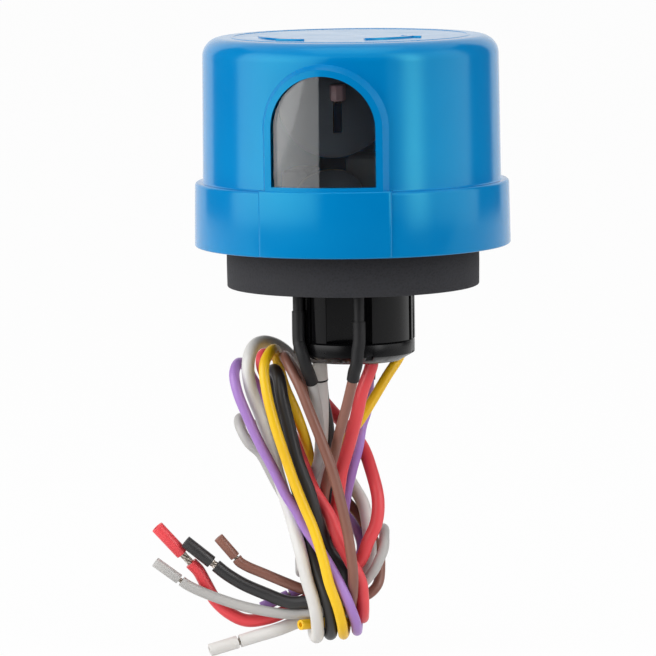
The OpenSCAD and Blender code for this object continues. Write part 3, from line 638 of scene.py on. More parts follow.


# %% [markdown]
# The leads come first, because they set how far the object reaches. Each is one smooth curve through
# listed points, the same ones as in the CAD source: out of the neck, down, round the bottom fold,
# up the front, over the top of the hank, down behind it and out to the stripped end. The handles are a
# third of the chord between the neighbours, which makes the same smooth curve as the solid has.

# %% Lead routes
ROUTES = {
    "red": [
        (4.5, -2, -20), (4.5, -2, -22), (2, -2, -29), (0.5, -1, -36), (-1.5, 1, -44), (-3.5, 3, -51.5),
        (-4.5, 5, -59.5), (-5, 6.5, -66), (-4.5, 7.7, -72), (-2.7, 9.6, -79), (0.5, 9.8, -85),
        (2, 8.6, -89.7), (2, 5, -92.7), (1.9, 1, -91.8), (2, -2, -87.5), (1.4, -3.8, -81.5),
        (-1.2, -4.4, -76), (-4.2, -4.2, -70), (-7, -2, -63), (-11, 0.3, -56.5), (-14.3, 4, -48.5),
        (-17.4, 6.4, -40.5), (-20.3, 8.2, -32.5), (-23, 9.2, -27), (-24.6, 10.2, -23), (-24.3, 13, -20.2),
        (-21.6, 17, -20.6), (-17.5, 19.5, -24), (-12, 20.5, -30), (-6, 19.5, -37), (-2, 17, -41.5),
        (2, 13, -46), (4.4, 8.5, -52), (6.2, 4.5, -59.5), (5.8, 3, -66), (3.5, 2.5, -71.5),
        (1.5, 2.2, -76.5), (-2.5, 2.8, -81), (-6, 4.4, -83.8), (-10, 5.2, -86.6), (-14, 5.3, -88.5),
        (-18.5, 4.7, -91), (-23.5, 4, -92.8), (-29, 3.2, -93.3), (-33.5, 3, -91.3), (-37.5, 3, -87.5),
        (-40.2, 2.6, -82.5), (-42, 2.2, -79), (-44, 2, -76.7)],
    "black": [
        (-9.2, 7.2, -20), (-9.2, 7.3, -22), (-8.5, 8.7, -31.5), (-7.2, 9.7, -40), (-7, 10.5, -48),
        (-7, 11.5, -57), (-7.3, 12, -66), (-7.5, 12.2, -76), (-7.9, 12.1, -84), (-8, 10.5, -90),
        (-7.7, 7.5, -95), (-6.9, 3.5, -97.2), (-6.5, -0.5, -96), (-6.5, -4, -92), (-7.6, -5.8, -86),
        (-9.9, -4.8, -79), (-12.1, -3.5, -72), (-13, -2, -66), (-14.6, -0.5, -59), (-16.7, 0.7, -51.5),
        (-18.6, 1.8, -43.5), (-21, 3, -36), (-22.4, 3.8, -30), (-22.3, 2.8, -25.3), (-21.4, -0.5, -22.8),
        (-20.1, -4, -24.7), (-19.2, -5.6, -30), (-17.3, -5.7, -38.5), (-15.2, -5.7, -47.5),
        (-12.2, -5.6, -56), (-10.4, -4.8, -63), (-8.5, -2, -69.5), (-6.3, -0.5, -74.5), (-3.5, -0.5, -77.7),
        (-2.3, -1.2, -81.5), (-4.5, -1.9, -84.9), (-9, -1.9, -86.6), (-13, -1.7, -87.4), (-18, -1, -87.5),
        (-24, 0, -85.3), (-29.8, 0, -82.6), (-34.2, 0, -79.8), (-37.3, 0, -77.2)],
    "white": [
        (-9, 2.6, -25.8), (-8.6, 5, -34), (-8.8, 6, -42.5), (-9.4, 8, -50.5), (-10.3, 9.2, -60),
        (-11, 10.5, -70), (-11.2, 11, -80), (-11.5, 10.8, -87), (-11.4, 9, -93), (-11.1, 5.5, -96.8),
        (-10.6, 1.5, -97.8), (-10.1, -2.5, -96.2), (-10.4, -5.5, -91), (-11.3, -6.5, -86),
        (-12.9, -6.5, -80.5), (-14.5, -6, -73), (-16.7, -3.9, -64.5), (-18.5, -2.5, -58.5),
        (-20.5, -2, -51.5), (-22.5, -2, -43.5), (-24.9, -2.5, -35.5), (-27.6, -3, -27.5),
        (-28.3, -2.5, -21), (-27, 0.5, -16.5), (-24, 4.5, -15.5), (-20, 9, -17.5), (-16.5, 13, -21.5),
        (-13.5, 15.5, -28), (-10.5, 16, -36), (-8, 16.5, -44), (-4.5, 17, -51), (-0.5, 16, -57.5),
        (2.5, 13, -63), (3.7, 10, -69.5), (4.1, 7.1, -75.5), (2.9, 5.5, -79.8), (0, 6, -82.7),
        (-2.4, 6.4, -84.7), (-6, 6, -88.3), (-10.5, 5.2, -91.6), (-15, 4, -93.7), (-20.5, 2.2, -95.7),
        (-26.5, 1, -97.3), (-31, 0, -98.5)],
    "yellow": [
        (13.7, 11.7, -17.3), (12, 10.5, -21.2), (8.8, 8.6, -26), (5.2, 7, -32), (1.8, 5.8, -37.5),
        (-1.6, 7.4, -43), (-3, 10, -51), (-3.5, 11.8, -60), (-4.2, 12.8, -66), (-4, 13.8, -73),
        (-3, 14.5, -80), (-2.2, 14, -87), (-2.1, 11, -92.5), (-2.6, 6.5, -96.3), (-3.1, 1.5, -97.2),
        (-3.3, -3.5, -95.8), (-3.7, -7, -92.5), (-5, -9, -87), (-7, -9.5, -81), (-8.5, -9.5, -74.5),
        (-11, -9.5, -66), (-14, -9, -58.5), (-16.6, -9, -51.5), (-19.2, -9, -43.5), (-21.6, -9, -35.5),
        (-23.4, -8.5, -27.5), (-24, -7, -21), (-22.5, -3, -17.5), (-21, 2, -17.5), (-20.3, 6.2, -22),
        (-18.6, 7.5, -28.5), (-15.5, 7, -36), (-13, 8, -44), (-11.5, 11, -52), (-9.5, 15, -61),
        (-7, 17, -71), (-5.5, 16.8, -81), (-5.3, 13.8, -88), (-4.5, 9.7, -91.3), (-5.8, 5.5, -92.9),
        (-8, 2.3, -93.9), (-10.4, 0.4, -93.8)],
    "brown": [
        (-0.5, -14.8, -23.8), (-2, -11.5, -31), (-4, -8.5, -39), (-5.5, -4.5, -46), (-7.3, 0.2, -53),
        (-8.4, 3.5, -60), (-8.4, 6, -68), (-7.1, 8.3, -76), (-4.9, 10.3, -82), (-2.3, 10.8, -87),
        (-1.5, 7.5, -90.7), (-1.4, 3, -91.7), (-1.3, -1.5, -89.7), (-0.7, -5.5, -85), (-0.6, -8.2, -79),
        (-1.2, -9, -72.5), (-2.2, -9.2, -66), (-4, -9.5, -57.5), (-6.2, -10, -49), (-9, -10, -41),
        (-12, -9.7, -33), (-14.5, -8.7, -26.5), (-17, -6.5, -21.5), (-18.5, -2.5, -19), (-18, 1.5, -19.5),
        (-16.5, 5, -22.5), (-14.3, 7.3, -26.5), (-11.7, 9.7, -32), (-9.8, 12, -39), (-9, 13.2, -46),
        (-7, 14.5, -53), (-3.5, 15.5, -60), (1.2, 15, -66), (4.2, 13.1, -71), (6.4, 10.5, -75),
        (6.8, 7.4, -79), (6.2, 4.7, -83.5), (3.7, 3.5, -86.3), (0.5, 3.3, -87.3), (-2.5, 3.1, -87.1),
        (-5.5, 2.4, -86.7), (-8.5, 1.3, -85.8), (-12, 0.6, -84.6), (-14.5, 0, -84), (-19, -0.5, -82),
        (-24.5, -0.5, -79.5), (-28.5, -0.5, -77.7), (-30.8, -0.5, -76.3), (-31.7, -0.5, -75.2)],
    "grey": [
        (-11.3, -7.6, -25.3), (-10, -5, -33), (-9.3, -1.5, -40), (-9.2, 2.9, -47), (-11.4, 5.6, -54),
        (-13.4, 7.5, -61), (-14.4, 10, -68), (-14.7, 10.6, -74.5), (-14.7, 8.5, -79.3), (-14.6, 4.5, -80),
        (-14.4, 2, -76), (-15.2, 1.2, -69), (-17.8, 1, -61), (-21.5, 1, -53.5), (-25, 0.5, -46.5),
        (-28.3, 0, -43), (-30.5, 1.5, -39), (-30.8, 6, -37), (-28.9, 10.5, -38.3), (-25.5, 14, -41.5),
        (-20, 17.5, -49), (-14, 20.5, -56), (-8, 22.7, -62.3), (-2, 22.8, -67.5), (3, 20.5, -70),
        (7, 15.2, -69.7), (7.9, 9.5, -69.2), (7.9, 5.5, -70.5), (7.7, 3, -73.5), (6.3, 1.5, -76.8),
        (4.5, 0.5, -80), (0.7, 0.3, -84.2), (-1.2, 0.2, -85.8), (-2.7, 0, -87), (-5.5, -0.5, -88.8),
        (-9, -1, -90.2), (-16.5, -0.5, -91), (-23, -0.5, -90.3), (-30.5, -0.5, -88.5), (-37.5, -0.5, -86),
        (-42.5, -0.5, -83.8), (-45.2, -0.5, -82.3), (-46.5, -0.5, -81.3)],
    "purple": [
        (4, 13, -27), (3.5, 11, -35), (2, 9, -40), (1, 8, -46), (-0.5, 7.5, -51.5), (-2.3, 8.3, -60),
        (-2.8, 9.7, -66), (-2, 11, -73), (-0.3, 12.6, -80), (1.2, 13.2, -87), (0.9, 10.8, -92.5),
        (0.6, 5.5, -96), (0.4, 0, -95.9), (0, -5, -92.5), (-1.4, -7.5, -88), (-3.2, -8, -83.5),
        (-6, -7, -78), (-9.5, -6, -72), (-13, -6, -66.5), (-15.5, -6, -61.5), (-18.5, -6, -56.5),
        (-22, -5.7, -49), (-25.5, -5.7, -42), (-28.5, -5.7, -35), (-31, -5.2, -28.5), (-32, -3, -23.5),
        (-31, 1.5, -21), (-29.2, 7, -22.5), (-26.6, 12.2, -28), (-22.5, 16, -36), (-18, 19, -45),
        (-11, 21.5, -53), (-6, 22, -60), (-1.5, 19.5, -66.5), (1, 14.7, -71), (1.9, 11, -74.3),
        (1.2, 8.4, -76.5), (-0.8, 6.8, -78), (-3.5, 6.2, -79.5), (-6.5, 6.5, -80.9), (-10.5, 6.2, -83),
        (-14, 6, -84.8), (-17.5, 5.2, -86.3)],
}
THICK, THIN = 3.5, 2.8
GAUGE = {"red": THICK, "black": THICK, "white": THICK, "yellow": THIN, "brown": THIN, "grey": THIN,
         "purple": THIN}

# %% [markdown]
# The hank hangs a little shorter than the points were set, and leans by a hair, as it does in the CAD
# source. Only the start of each lead stays where the neck or its sleeve holds it.

# %% Swept tubes
FOLD, LEAN, NECK_END_Z = 0.967, 0.008, -20


def hang(point):
    """Where a point of a route lies once the hank is shortened and leaned."""
    x, y, z = point
    drop = z - NECK_END_Z
    return (x + LEAN * drop, y, NECK_END_Z + FOLD * drop)


def sweep(name, points, diameter, radii=None, place=in_row):
    """A round tube on one open spline through points in millimetres, in the frame that place reads."""
    line = [place(p) for p in points]
    data = bpy.data.curves.new(name, "CURVE")
    data.dimensions = "3D"
    data.bevel_depth = diameter * MM / 2
    data.bevel_resolution = 6
    data.resolution_u = 8
    data.use_fill_caps = True
    spline = data.splines.new("BEZIER")
    spline.bezier_points.add(len(line) - 1)
    for k, knot in enumerate(spline.bezier_points):
        before = line[k - 1] if k else 2 * line[0] - line[1]
        after = line[k + 1] if k < len(line) - 1 else 2 * line[k] - line[k - 1]
        knot.handle_left_type = knot.handle_right_type = "FREE"
        knot.co = line[k]
        knot.handle_left = line[k] - (after - before) / 6
        knot.handle_right = line[k] + (after - before) / 6
        knot.radius = radii[k] if radii else 1
    obj = bpy.data.objects.new(name, data)
    bpy.context.scene.collection.objects.link(obj)
    return obj


cords = {}
for pigment, (first, *rest) in ROUTES.items():
    route = [first] + [hang(p) for p in rest]
    cords[pigment] = sweep(f"{pigment}_cord", route, GAUGE[pigment])
    dress(cords[pigment], f"{pigment}_cord", "receptacle", f"lead_{pigment}", f"{pigment}_lead")
    length = cords[pigment].data.splines[0].calc_length()
    print(pigment, "lead", round(length / MM, 1), "mm")

# %% [markdown]
# Four thin black wires come down beside the neck. A little below the gasket each goes into a black shrink
# sleeve, a step thicker, that bends towards its lead. The white lead has a white sleeve below the cap, with a
# thin dark ring at its end that is a painted shadow of the sleeve's end. Shrink tube is never quite even, so
# the sweep swells and tightens a little at its points.

# %% Sleeves
SLEEVE_D, FEED_D, WHITE_SLEEVE_D, WHITE_SHADOW_D = 3.4, 2.9, 3.9, 4.05
SLEEVE_RADIUS = 18.2
FEED_TOP, BEND_Z = 2, -13
SLEEVE_END, WHITE_END = 2.4, 2
# Angle round the neck, height of the step, bends, and heading at the lead
SLEEVE_BENDS = {
    "grey": (-54, -5.8, [(-14.4, -11.1, -15), (-13.5, -11.8, -18), (-12.6, -10.4, -21.3)],
             (0.24, 0.5, -0.83)),
    "brown": (4, -8, [(0.9, -18, -15.5), (0.5, -17.5, -19.3)], (-0.15, 0.45, -0.88)),
    "yellow": (130, -7, [], (-0.12, -0.1, -0.98)),
    "purple": (162, -7.5, [(5.5, 17.2, -18), (5, 15.8, -21.6)], (-0.1, -0.32, -0.94)),
}
SWELL = [1.01, 1.0, 1.02, 0.98, 1.01, 1.0, 0.99]


def beside_neck(angle, z):
    """A place beside the neck, at an angle from its front and at a height."""
    a = math.radians(angle)
    return (SLEEVE_RADIUS * math.sin(a), -SLEEVE_RADIUS * math.cos(a), z)


sleeves = {}
for pigment, (angle, step, bend, heading) in SLEEVE_BENDS.items():
    joint = Vector(ROUTES[pigment][0])
    stops = [beside_neck(angle, z) for z in (step, BEND_Z)]
    stops += bend + [joint - SLEEVE_END * Vector(heading).normalized(), joint]
    tube = sweep(f"{pigment}_tube", stops, SLEEVE_D, SWELL[:len(stops)])
    dress(tube, f"{pigment}_tube", "receptacle", "sleeve_black", f"{pigment}_sleeve")
    feed_stops = [beside_neck(angle, z) for z in (FEED_TOP, step / 2, step + 0.2, step - 1)]
    feed = sweep(f"{pigment}_feed", feed_stops, FEED_D, [1.04, 1, 0.97, 0.95])
    dress(feed, f"{pigment}_feed", "receptacle", "sleeve_black")
    sleeves[pigment] = [tube, feed]
white_joint = Vector(ROUTES["white"][0])
white_heading = Vector((0.04, 0.25, -0.97)).normalized()
white_stops = [(-9.2, 1.6, -20), (-9.2, 1.8, -22.4), white_joint - WHITE_END * white_heading, white_joint]
white_tube = sweep("white_tube", white_stops, WHITE_SLEEVE_D, [1, 1.02, 0.99, 1])
dress(white_tube, "white_tube", "receptacle", "sleeve_white", "white_sleeve")
# The thin dark ring at the end of the white sleeve is a painted shadow, where the sleeve's end casts shade.
shadow_stops = [white_joint - 0.3 * white_heading, white_joint, white_joint + 0.2 * white_heading]
white_end_shadow = sweep("white_end_shadow", shadow_stops, WHITE_SHADOW_D, [0.99, 1, 0.97])
dress(white_end_shadow, "white_end_shadow", "receptacle", "sleeve_black")
sleeves["white"] = [white_tube, white_end_shadow]
print("sleeves on", ", ".join(sleeves))

# %% [markdown]
# Every end is stripped: a short length of bare twisted strands, then the cut slug of insulation, left on
# the wire as a cap. The slug is a little tube with a hollow mouth, made from a cylinder whose end face is
# inset and pushed in. The strands are a ring of small circles, extruded and turned step by step.

# %% Stripped ends
# Lengths of the bare strands and of the slug
ENDS = {
    "red": (3.5, 10), "black": (1.5, 9), "white": (0.6, 8), "yellow": (0.6, 5), "brown": (0.6, 7),
    "grey": (0.8, 8), "purple": (0.6, 8),
}
CORE = {THICK: 2.0, THIN: 1.3}
MOUTH_DEPTH = 2.5
SLUG_SIDES, STRANDS, STRAND_STEPS, STRAND_TWIST = 32, 6, 8, math.radians(12)


def end_frame(pigment):
    """Where a lead ends and which way it points, as a matrix whose Z axis leaves the lead."""
    spline = cords[pigment].data.splines[0]
    knot = spline.bezier_points[-1]
    heading = knot.co - knot.handle_left
    return Matrix.Translation(knot.co) @ heading.to_track_quat("Z", "Y").to_matrix().to_4x4()


def slug(pigment, offset, length, diameter):
    """The cut piece of insulation on the end of a lead, hollow at its mouth."""
    depth = length * MM
    obj = begin(bpy.ops.mesh.primitive_cylinder_add, vertices=SLUG_SIDES, radius=diameter * MM / 2,
                depth=depth, location=(0, 0, offset * MM + depth / 2))
    rim = (diameter - CORE[diameter]) / 2 * MM
    pick("FACE", lambda f: abs(f.normal.z) > 0.9)
    bpy.ops.mesh.inset(thickness=rim)
    pick("FACE", lambda f: f.normal.z > 0.9 and len(f.verts) == SLUG_SIDES
         and f.calc_center_median().xy.length < 1e-5)
    pull(0, 0, -MOUTH_DEPTH)
    round_edges(0.15, 2, lambda e: sharp(e, 60))
    return complete(obj, f"{pigment}_slug_cap", "receptacle", f"lead_{pigment}", f"{pigment}_slug",
                    place=end_frame(pigment))


def strands(pigment, length, diameter):
    """Six strands twisted round the middle of a bare core, as long as the gap."""
    wire_r = CORE[diameter] * MM / 6
    ring_r = CORE[diameter] * MM / 2 - wire_r
    rise, spread = length / STRAND_STEPS, math.radians(360 / STRANDS)
    obj = begin(bpy.ops.mesh.primitive_circle_add, vertices=10, radius=wire_r, location=(ring_r, 0, 0),
                fill_type="NGON")
    for _ in range(STRANDS - 1):
        bpy.ops.mesh.duplicate()
        bpy.ops.transform.rotate(value=spread, orient_axis="Z", center_override=(0, 0, 0))
    pull_all(0, 0, rise)
    for _ in range(STRAND_STEPS - 1):
        bpy.ops.transform.rotate(value=STRAND_TWIST, orient_axis="Z", center_override=(0, 0, 0))
        pull(0, 0, rise)
    return complete(obj, f"{pigment}_strands", "receptacle", "tinned_wire", f"{pigment}_conductor",
                    place=end_frame(pigment))


ends = {}
for pigment, (bare, length) in ENDS.items():
    gauge = GAUGE[pigment]
    ends[pigment] = [strands(pigment, bare, gauge), slug(pigment, bare, length, gauge)]
print("stripped ends", len(ends))

# %% [markdown]
# A lead is a fixed length of something flexible, so it is declared as a cord, with its length, its
# diameter, the place where it leaves the neck or its sleeve, and the pieces that sit on it.

for pigment, cord in cords.items():
    on_it = ends[pigment] + sleeves.get(pigment, [])
    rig.cord(cord, exit=tuple(in_row(ROUTES[pigment][0])), length=cord.data.splines[0].calc_length(),
            diameter=GAUGE[pigment] * MM, far_end="bare", stiffness="medium", lay="loose", with_pieces=on_it)
print(len(cords), "cords declared")

# %% [markdown]
# The cap is one lathe form. Its profile starts at the middle of the top, goes out over the rounded crown,
# down the slightly tapered wall, over the ledge of the skirt, round the lower lip and back up inside. The
# circle is extruded from ring to ring, and the two ends are drawn together into poles.

# %% Sizes of the cap
RIM_R, LEDGE_R, BODY_R, CROWN_R = 42, 41.75, 39.6, 39.3
RIM_Z, LEDGE_Z, TOP_Z = 10.9, 28, 66.3
EDGE_R, WALL = 5, 2.2
LIP_ROUND, LEDGE_ROUND, CEILING_ROUND, POLE_R = 0.5, 0.9, 4, 0.4
PAD_R, PANEL_R, PANE_R, PANE_T = 42.2, 42.5, 41.4, 1.6
WINDOW_HW, SILL_Z, SPRING_Z = 13.85, 29.4, 44.35
SILL_DROP = 1
FACE_W, SLOPE_W, FOOT_W, REBATE, PANEL_HW = 1.7, 2.6, 3.0, 1.4, 17.6
print("cap", 2 * RIM_R, "mm across and", round(TOP_Z - RIM_Z, 1), "mm high")


def close_poles(*heights):
    """Draw the small rings at the ends of a lathe form together into single points."""
    for z in heights:
        pick("VERT", lambda v: v.co.xy.length < 0.6 * MM and abs(v.co.z - z * MM) < 0.05 * MM)
        bpy.ops.mesh.merge(type="CENTER")


def lathe_shell():
    """The cap without its window, turned from one profile."""
    inside = CROWN_R - WALL
    rings = [(POLE_R, TOP_Z), (12, TOP_Z), (26, TOP_Z)]
    rings += arc(CROWN_R - EDGE_R, TOP_Z - EDGE_R, EDGE_R, 90, 0, 14)
    rings += arc(BODY_R + LIP_ROUND, LEDGE_Z + LIP_ROUND, LIP_ROUND, 180, 270, 4)
    rings += arc(LEDGE_R - LEDGE_ROUND, LEDGE_Z - LEDGE_ROUND, LEDGE_ROUND, 90, 0, 6)
    rings += arc(RIM_R - LIP_ROUND, RIM_Z + LIP_ROUND, LIP_ROUND, 0, -90, 5)
    rings += [(RIM_R - WALL, RIM_Z), (RIM_R - WALL, LEDGE_Z - WALL), (inside, LEDGE_Z - WALL)]
    rings += arc(inside - CEILING_ROUND, TOP_Z - WALL - CEILING_ROUND, CEILING_ROUND, 0, 90, 8)
    rings += [(POLE_R, TOP_Z - WALL)]
    shell = turn(rings)
    close_poles(TOP_Z, TOP_Z - WALL)
    leave_edit()
    return shell


# %% [markdown]
# The window is an arch. One walk round its outline, from an angle of a plain circle, serves the opening
# and the raised border: the upper half turn is the round head, the lower one is the left side, the sill
# and the right side.

# %% Arch outline


def arch_point(angle, grow, foot):
    """A place on the arch outline, made wider by an amount, standing on the given height."""
    half = WINDOW_HW + grow
    share = (math.degrees(angle) % 360 - 180) / 180
    if share <= 0:
        return half * math.cos(angle), SPRING_Z + half * math.sin(angle)
    if share < 0.25:
        return -half, SPRING_Z + (foot - SPRING_Z) * share * 4
    if share <= 0.75:
        return half * (share - 0.5) * 4, foot
    return half, foot + (SPRING_Z - foot) * (share - 0.75) * 4


def arch_rings(sections):
    """A flat circle, extruded outwards once for each section, laid on the arch with its growth and depth."""
    obj = begin(bpy.ops.mesh.primitive_circle_add, vertices=192, radius=1)
    for k in range(1, len(sections)):
        bpy.ops.mesh.extrude_edges_move(TRANSFORM_OT_translate={"value": (0, 0, 0)})
        bpy.ops.transform.resize(value=((k + 1) / k, (k + 1) / k, 1), center_override=(0, 0, 0))

    def lay(co):
        grow, foot, depth = sections[round(co.xy.length) - 1]
        x, z = arch_point(math.atan2(co.y, co.x), grow, foot)
        return Vector((x, depth, z)) * MM

    return obj, lay


def wrap(radius):
    """Bend flat work, drawn in x and z with its depth in y, on to an upright cylinder."""
    def bent(co):
        r = radius * MM - co.y
        return Vector((co.x, -math.sqrt(r * r - co.x * co.x), co.z))
    reshape(bent)


# %% [markdown]
# The opening is cut through the shell with a prism of that outline. A boolean cut keeps the round wall and
# leaves a clean edge for the pane to sit behind.

# %% Cut the window
CUT_FROM, CUT_DEPTH = 60, 40


def cut_window(shell):
    """Take an arched prism out of the front wall."""
    cutter, lay = arch_rings([(REBATE, SILL_Z - SILL_DROP, 0)])
    reshape(lay)
    bpy.ops.mesh.select_all(action="SELECT")
    bpy.ops.mesh.edge_face_add()
    pull(0, CUT_DEPTH, 0)
    reshape(lambda co: co + Vector((0, -CUT_FROM * MM, 0)))
    leave_edit()
    modify(shell, "BOOLEAN", operation="DIFFERENCE", solver="EXACT", object=cutter)
    bpy.data.objects.remove(cutter)


# %% [markdown]
# The border is a ring with an angled section: a thin lip in front of the pane and a thicker part that runs
# back into the wall. From its narrow face the outer side slopes down to a small foot on the wall. The two
# front edges are rounded while it is still flat, then it is bent on to the cylinder of the cap. The panel
# below it on the skirt is a plate, rounded and bent in the same way.

# %% Window border and skirt panel
BORDER_LIP, SLOPE_DEPTH, FOOT_DEPTH, BORDER_BACK, PANEL_T = 0.9, 2.4, 3, 5.4, 2.6


def far_out(co):
    """Whether a place on the flat border belongs to its outer edge."""
    x, z = co.x / MM, co.z / MM
    return z < SILL_Z - SILL_DROP or math.hypot(x, max(z - SPRING_Z, 0)) > WINDOW_HW + FACE_W / 2


def window_border():
    """The raised arch round the window, from sections of growth, foot height and depth."""
    low, drop = LEDGE_Z - 1, SILL_Z - SILL_DROP
    sections = [(0, SILL_Z, BORDER_LIP), (0, SILL_Z, 0), (FACE_W, low, 0), (SLOPE_W, low, SLOPE_DEPTH),
                (FOOT_W, low, FOOT_DEPTH), (FOOT_W, low, BORDER_BACK), (REBATE, drop, BORDER_BACK),
                (REBATE, drop, BORDER_LIP)]
    border, lay = arch_rings(sections)
    pick("EDGE", lambda e: all(round(v.co.xy.length) in (1, len(sections)) for v in e.verts)
         and len(e.link_faces) == 1)
    bpy.ops.mesh.bridge_edge_loops()
    reshape(lay)
    for outer, width in ((True, 0.4), (False, 0.6)):
        round_edges(width, 4, lambda e: sharp(e, 45) and all(
            abs(v.co.y) < 1e-6 and far_out(v.co) == outer for v in e.verts))
    wrap(PAD_R)
    leave_edit()
    return border


def skirt_panel():
    """The flat-sided panel on the skirt, below the window."""
    low, high = RIM_Z + 0.1, LEDGE_Z + 0.35
    panel = begin(bpy.ops.mesh.primitive_grid_add, x_subdivisions=40, y_subdivisions=2, size=2)
    reshape(lambda co: Vector((co.x * PANEL_HW, 0, low + (co.y + 1) / 2 * (high - low))) * MM)
    pull_all(0, PANEL_T, 0)
    round_edges(0.5, 4, lambda e: all(abs(v.co.y) < 1e-6 for v in e.verts) and sharp(e, 60))
    wrap(PANEL_R)
    leave_edit()
    return panel


# %% [markdown]
# The top carries a thin raised ring and two turning arrows. An arrow starts as a long grid: its length is
# laid round the axis, its width is the shaft, and the last part opens into the head and closes to a point.

# %% Raised marks on the top
MARK_SUNK, RING_UP, ARROW_UP = 0.2, 0.1, 0.4
RING_IN, RING_OUT, RING_BREAK = 31, 31.8, 0.08
SHAFT_W, HEAD_W, HEAD_FROM = 2, 6.4, 0.71
# Start, span and radius of each arrow
ARROWS = ((190, 60, 23.5), (292, 64, 19))


def raised_ring():
    """The thin ring on the top, with its edges broken."""
    low, high = TOP_Z - MARK_SUNK, TOP_Z + RING_UP
    ring = turn([(RING_IN, low), (RING_IN, high - RING_BREAK), (RING_IN + 0.1, high), (RING_OUT - 0.1, high),
                 (RING_OUT, high - RING_BREAK), (RING_OUT, low)])
    bpy.ops.object.mode_set(mode="OBJECT")
    return ring


def turning_arrow(start, span, radius):
    """A curved arrow on the top, with its angles in degrees."""
    arrow = begin(bpy.ops.mesh.primitive_grid_add, x_subdivisions=36, y_subdivisions=2, size=1)

    def lay(co):
        along = co.x + 0.5
        width = SHAFT_W if along < HEAD_FROM else HEAD_W * (1 - along) / (1 - HEAD_FROM)
        a = math.radians(start + span * along)
        r = radius + co.y * width
        return Vector((r * math.cos(a), r * math.sin(a), TOP_Z - MARK_SUNK)) * MM

    reshape(lay)
    merge_near(0.005)
    pull(0, 0, MARK_SUNK + ARROW_UP)
    round_edges(0.1, 2, lambda e: all(v.co.z > (TOP_Z + ARROW_UP / 2) * MM for v in e.verts) and sharp(e, 60))
    bpy.ops.object.mode_set(mode="OBJECT")
    return arrow


# %% [markdown]
# The shell, the border, the panel and the marks are taken as one moulding, so they become one object.

# %% Join the cap
shell = lathe_shell()
cut_window(shell)
raised = [window_border(), skirt_panel(), raised_ring()] + [turning_arrow(*arrow) for arrow in ARROWS]
alone(*raised, shell)
bpy.ops.object.join()
shade(32)
dress(shell, "cover_shell", "photocell", "cover_blue", "cover")
print("cap", len(shell.data.polygons), "faces")

# %% [markdown]
# The pane is a curved sheet: a grid whose columns stop at the arch, given its thickness and a small
# chamfer, then bent on to its cylinder just behind the lip of the border.

# %% Pane


def curved_pane():
    """The clear sheet in the window."""
    half, foot = WINDOW_HW + REBATE - 0.1, SILL_Z - 0.9
    pane = begin(bpy.ops.mesh.primitive_grid_add, x_subdivisions=64, y_subdivisions=4, size=2)

    def lay(co):
        x = half * math.sin(co.x * math.pi / 2)
        top = SPRING_Z + math.sqrt(max(half * half - x * x, 0))
        return Vector((x, 0, foot + (co.y + 1) / 2 * (top - foot))) * MM

    reshape(lay)
    pull_all(0, PANE_T, 0)
    round_edges(0.1, 1, lambda e: sharp(e, 60))
    wrap(PANE_R)
    return complete(pane, "window_sheet", "photocell", "clear_pane", "window_pane", smooth=30)


pane = curved_pane()
print("pane", len(pane.data.polygons), "faces")

# %% [markdown]
# Behind the pane hangs a dark screen with an arc as its lower edge and a slot below the sensor. It starts
# as a grid, as wide as the screen, whose lower border follows the arc; the faces of the slot are deleted,
# the rest gets its thickness and is bent to its radius. The sensor is an eight-sided block with rounded
# ends, and its two legs go back through the slot and down behind the screen.

# %% Screen and sensor
SCREEN_R, SCREEN_T, SCREEN_HW, SCREEN_MID, SCREEN_TOP = 27, 1.5, 15.3, 51.4, 64.1
SENSOR_X, SENSOR_Y, SENSOR_Z = 1.8, -29.3, 51.1
SENSOR_R, SENSOR_H, SENSOR_ROUND, SENSOR_SIDES = 2.1, 4.5, 0.6, 8
SLOT_HW, SLOT_LOW, SLOT_HIGH = 1.2, 42.5, 52.2
LEG_D, LEG_GAP, LEG_SPREAD = 0.55, 0.55, 2


def in_cap(point):
    """A point in millimetres in the row frame, as metres."""
    return Vector(point) * MM


def dark_screen():
    """The curved screen behind the pane."""
    screen = begin(bpy.ops.mesh.primitive_grid_add, x_subdivisions=51, y_subdivisions=48, size=2)

    def lay(co):
        x = co.x * SCREEN_HW
        low = SCREEN_MID - math.sqrt(max(SCREEN_HW ** 2 - x * x, 0))
        return Vector((x, 0, low + (co.y + 1) / 2 * (SCREEN_TOP - low))) * MM

    reshape(lay)
    pick("FACE", lambda f: abs(f.calc_center_median().x / MM - SENSOR_X) < SLOT_HW
         and SLOT_LOW < f.calc_center_median().z / MM < SLOT_HIGH)
    bpy.ops.mesh.delete(type="FACE")
    pull_all(0, SCREEN_T, 0)
    wrap(SCREEN_R)
    return complete(screen, "dark_screen", "photocell", "inner_black", "sensor_shield", smooth=30)


def clear_sensor():
    """The sensor, turned with few sides."""
    side = SENSOR_R - SENSOR_ROUND
    rings = [(0.05, 0)] + arc(side, SENSOR_ROUND, SENSOR_ROUND, -90, 0, 4)
    rings += arc(side, SENSOR_H - SENSOR_ROUND, SENSOR_ROUND, 0, 90, 4) + [(0.05, SENSOR_H)]
    obj = turn(rings, SENSOR_SIDES)
    close_poles(0, SENSOR_H)
    return complete(obj, "clear_sensor", "photocell", "sensor_rose", "photo_sensor", smooth=40,
                    place=Matrix.Translation(in_cap((SENSOR_X + 0.3, SENSOR_Y, SENSOR_Z - 0.1))))


screen = dark_screen()
sensor = clear_sensor()
for side in (-1, 1):
    near, far = SENSOR_X + side * LEG_GAP, SENSOR_X + side * LEG_SPREAD
    bends = [(near, SENSOR_Y, 51.3), (near, SENSOR_Y + 0.5, 50.8), (near, -27, 50.6), (near, -24.6, 50.4),
             (far, -24.3, 49.5), (far, -24.3, 42.6)]
    leg = sweep(f"sensor_leg_{side + 2}", bends, LEG_D, place=in_cap)
    dress(leg, leg.name, "photocell", "tinned_wire", *(["sensor_legs"] if side < 0 else []))
print("screen", len(screen.data.polygons), "faces, sensor", len(sensor.data.polygons))
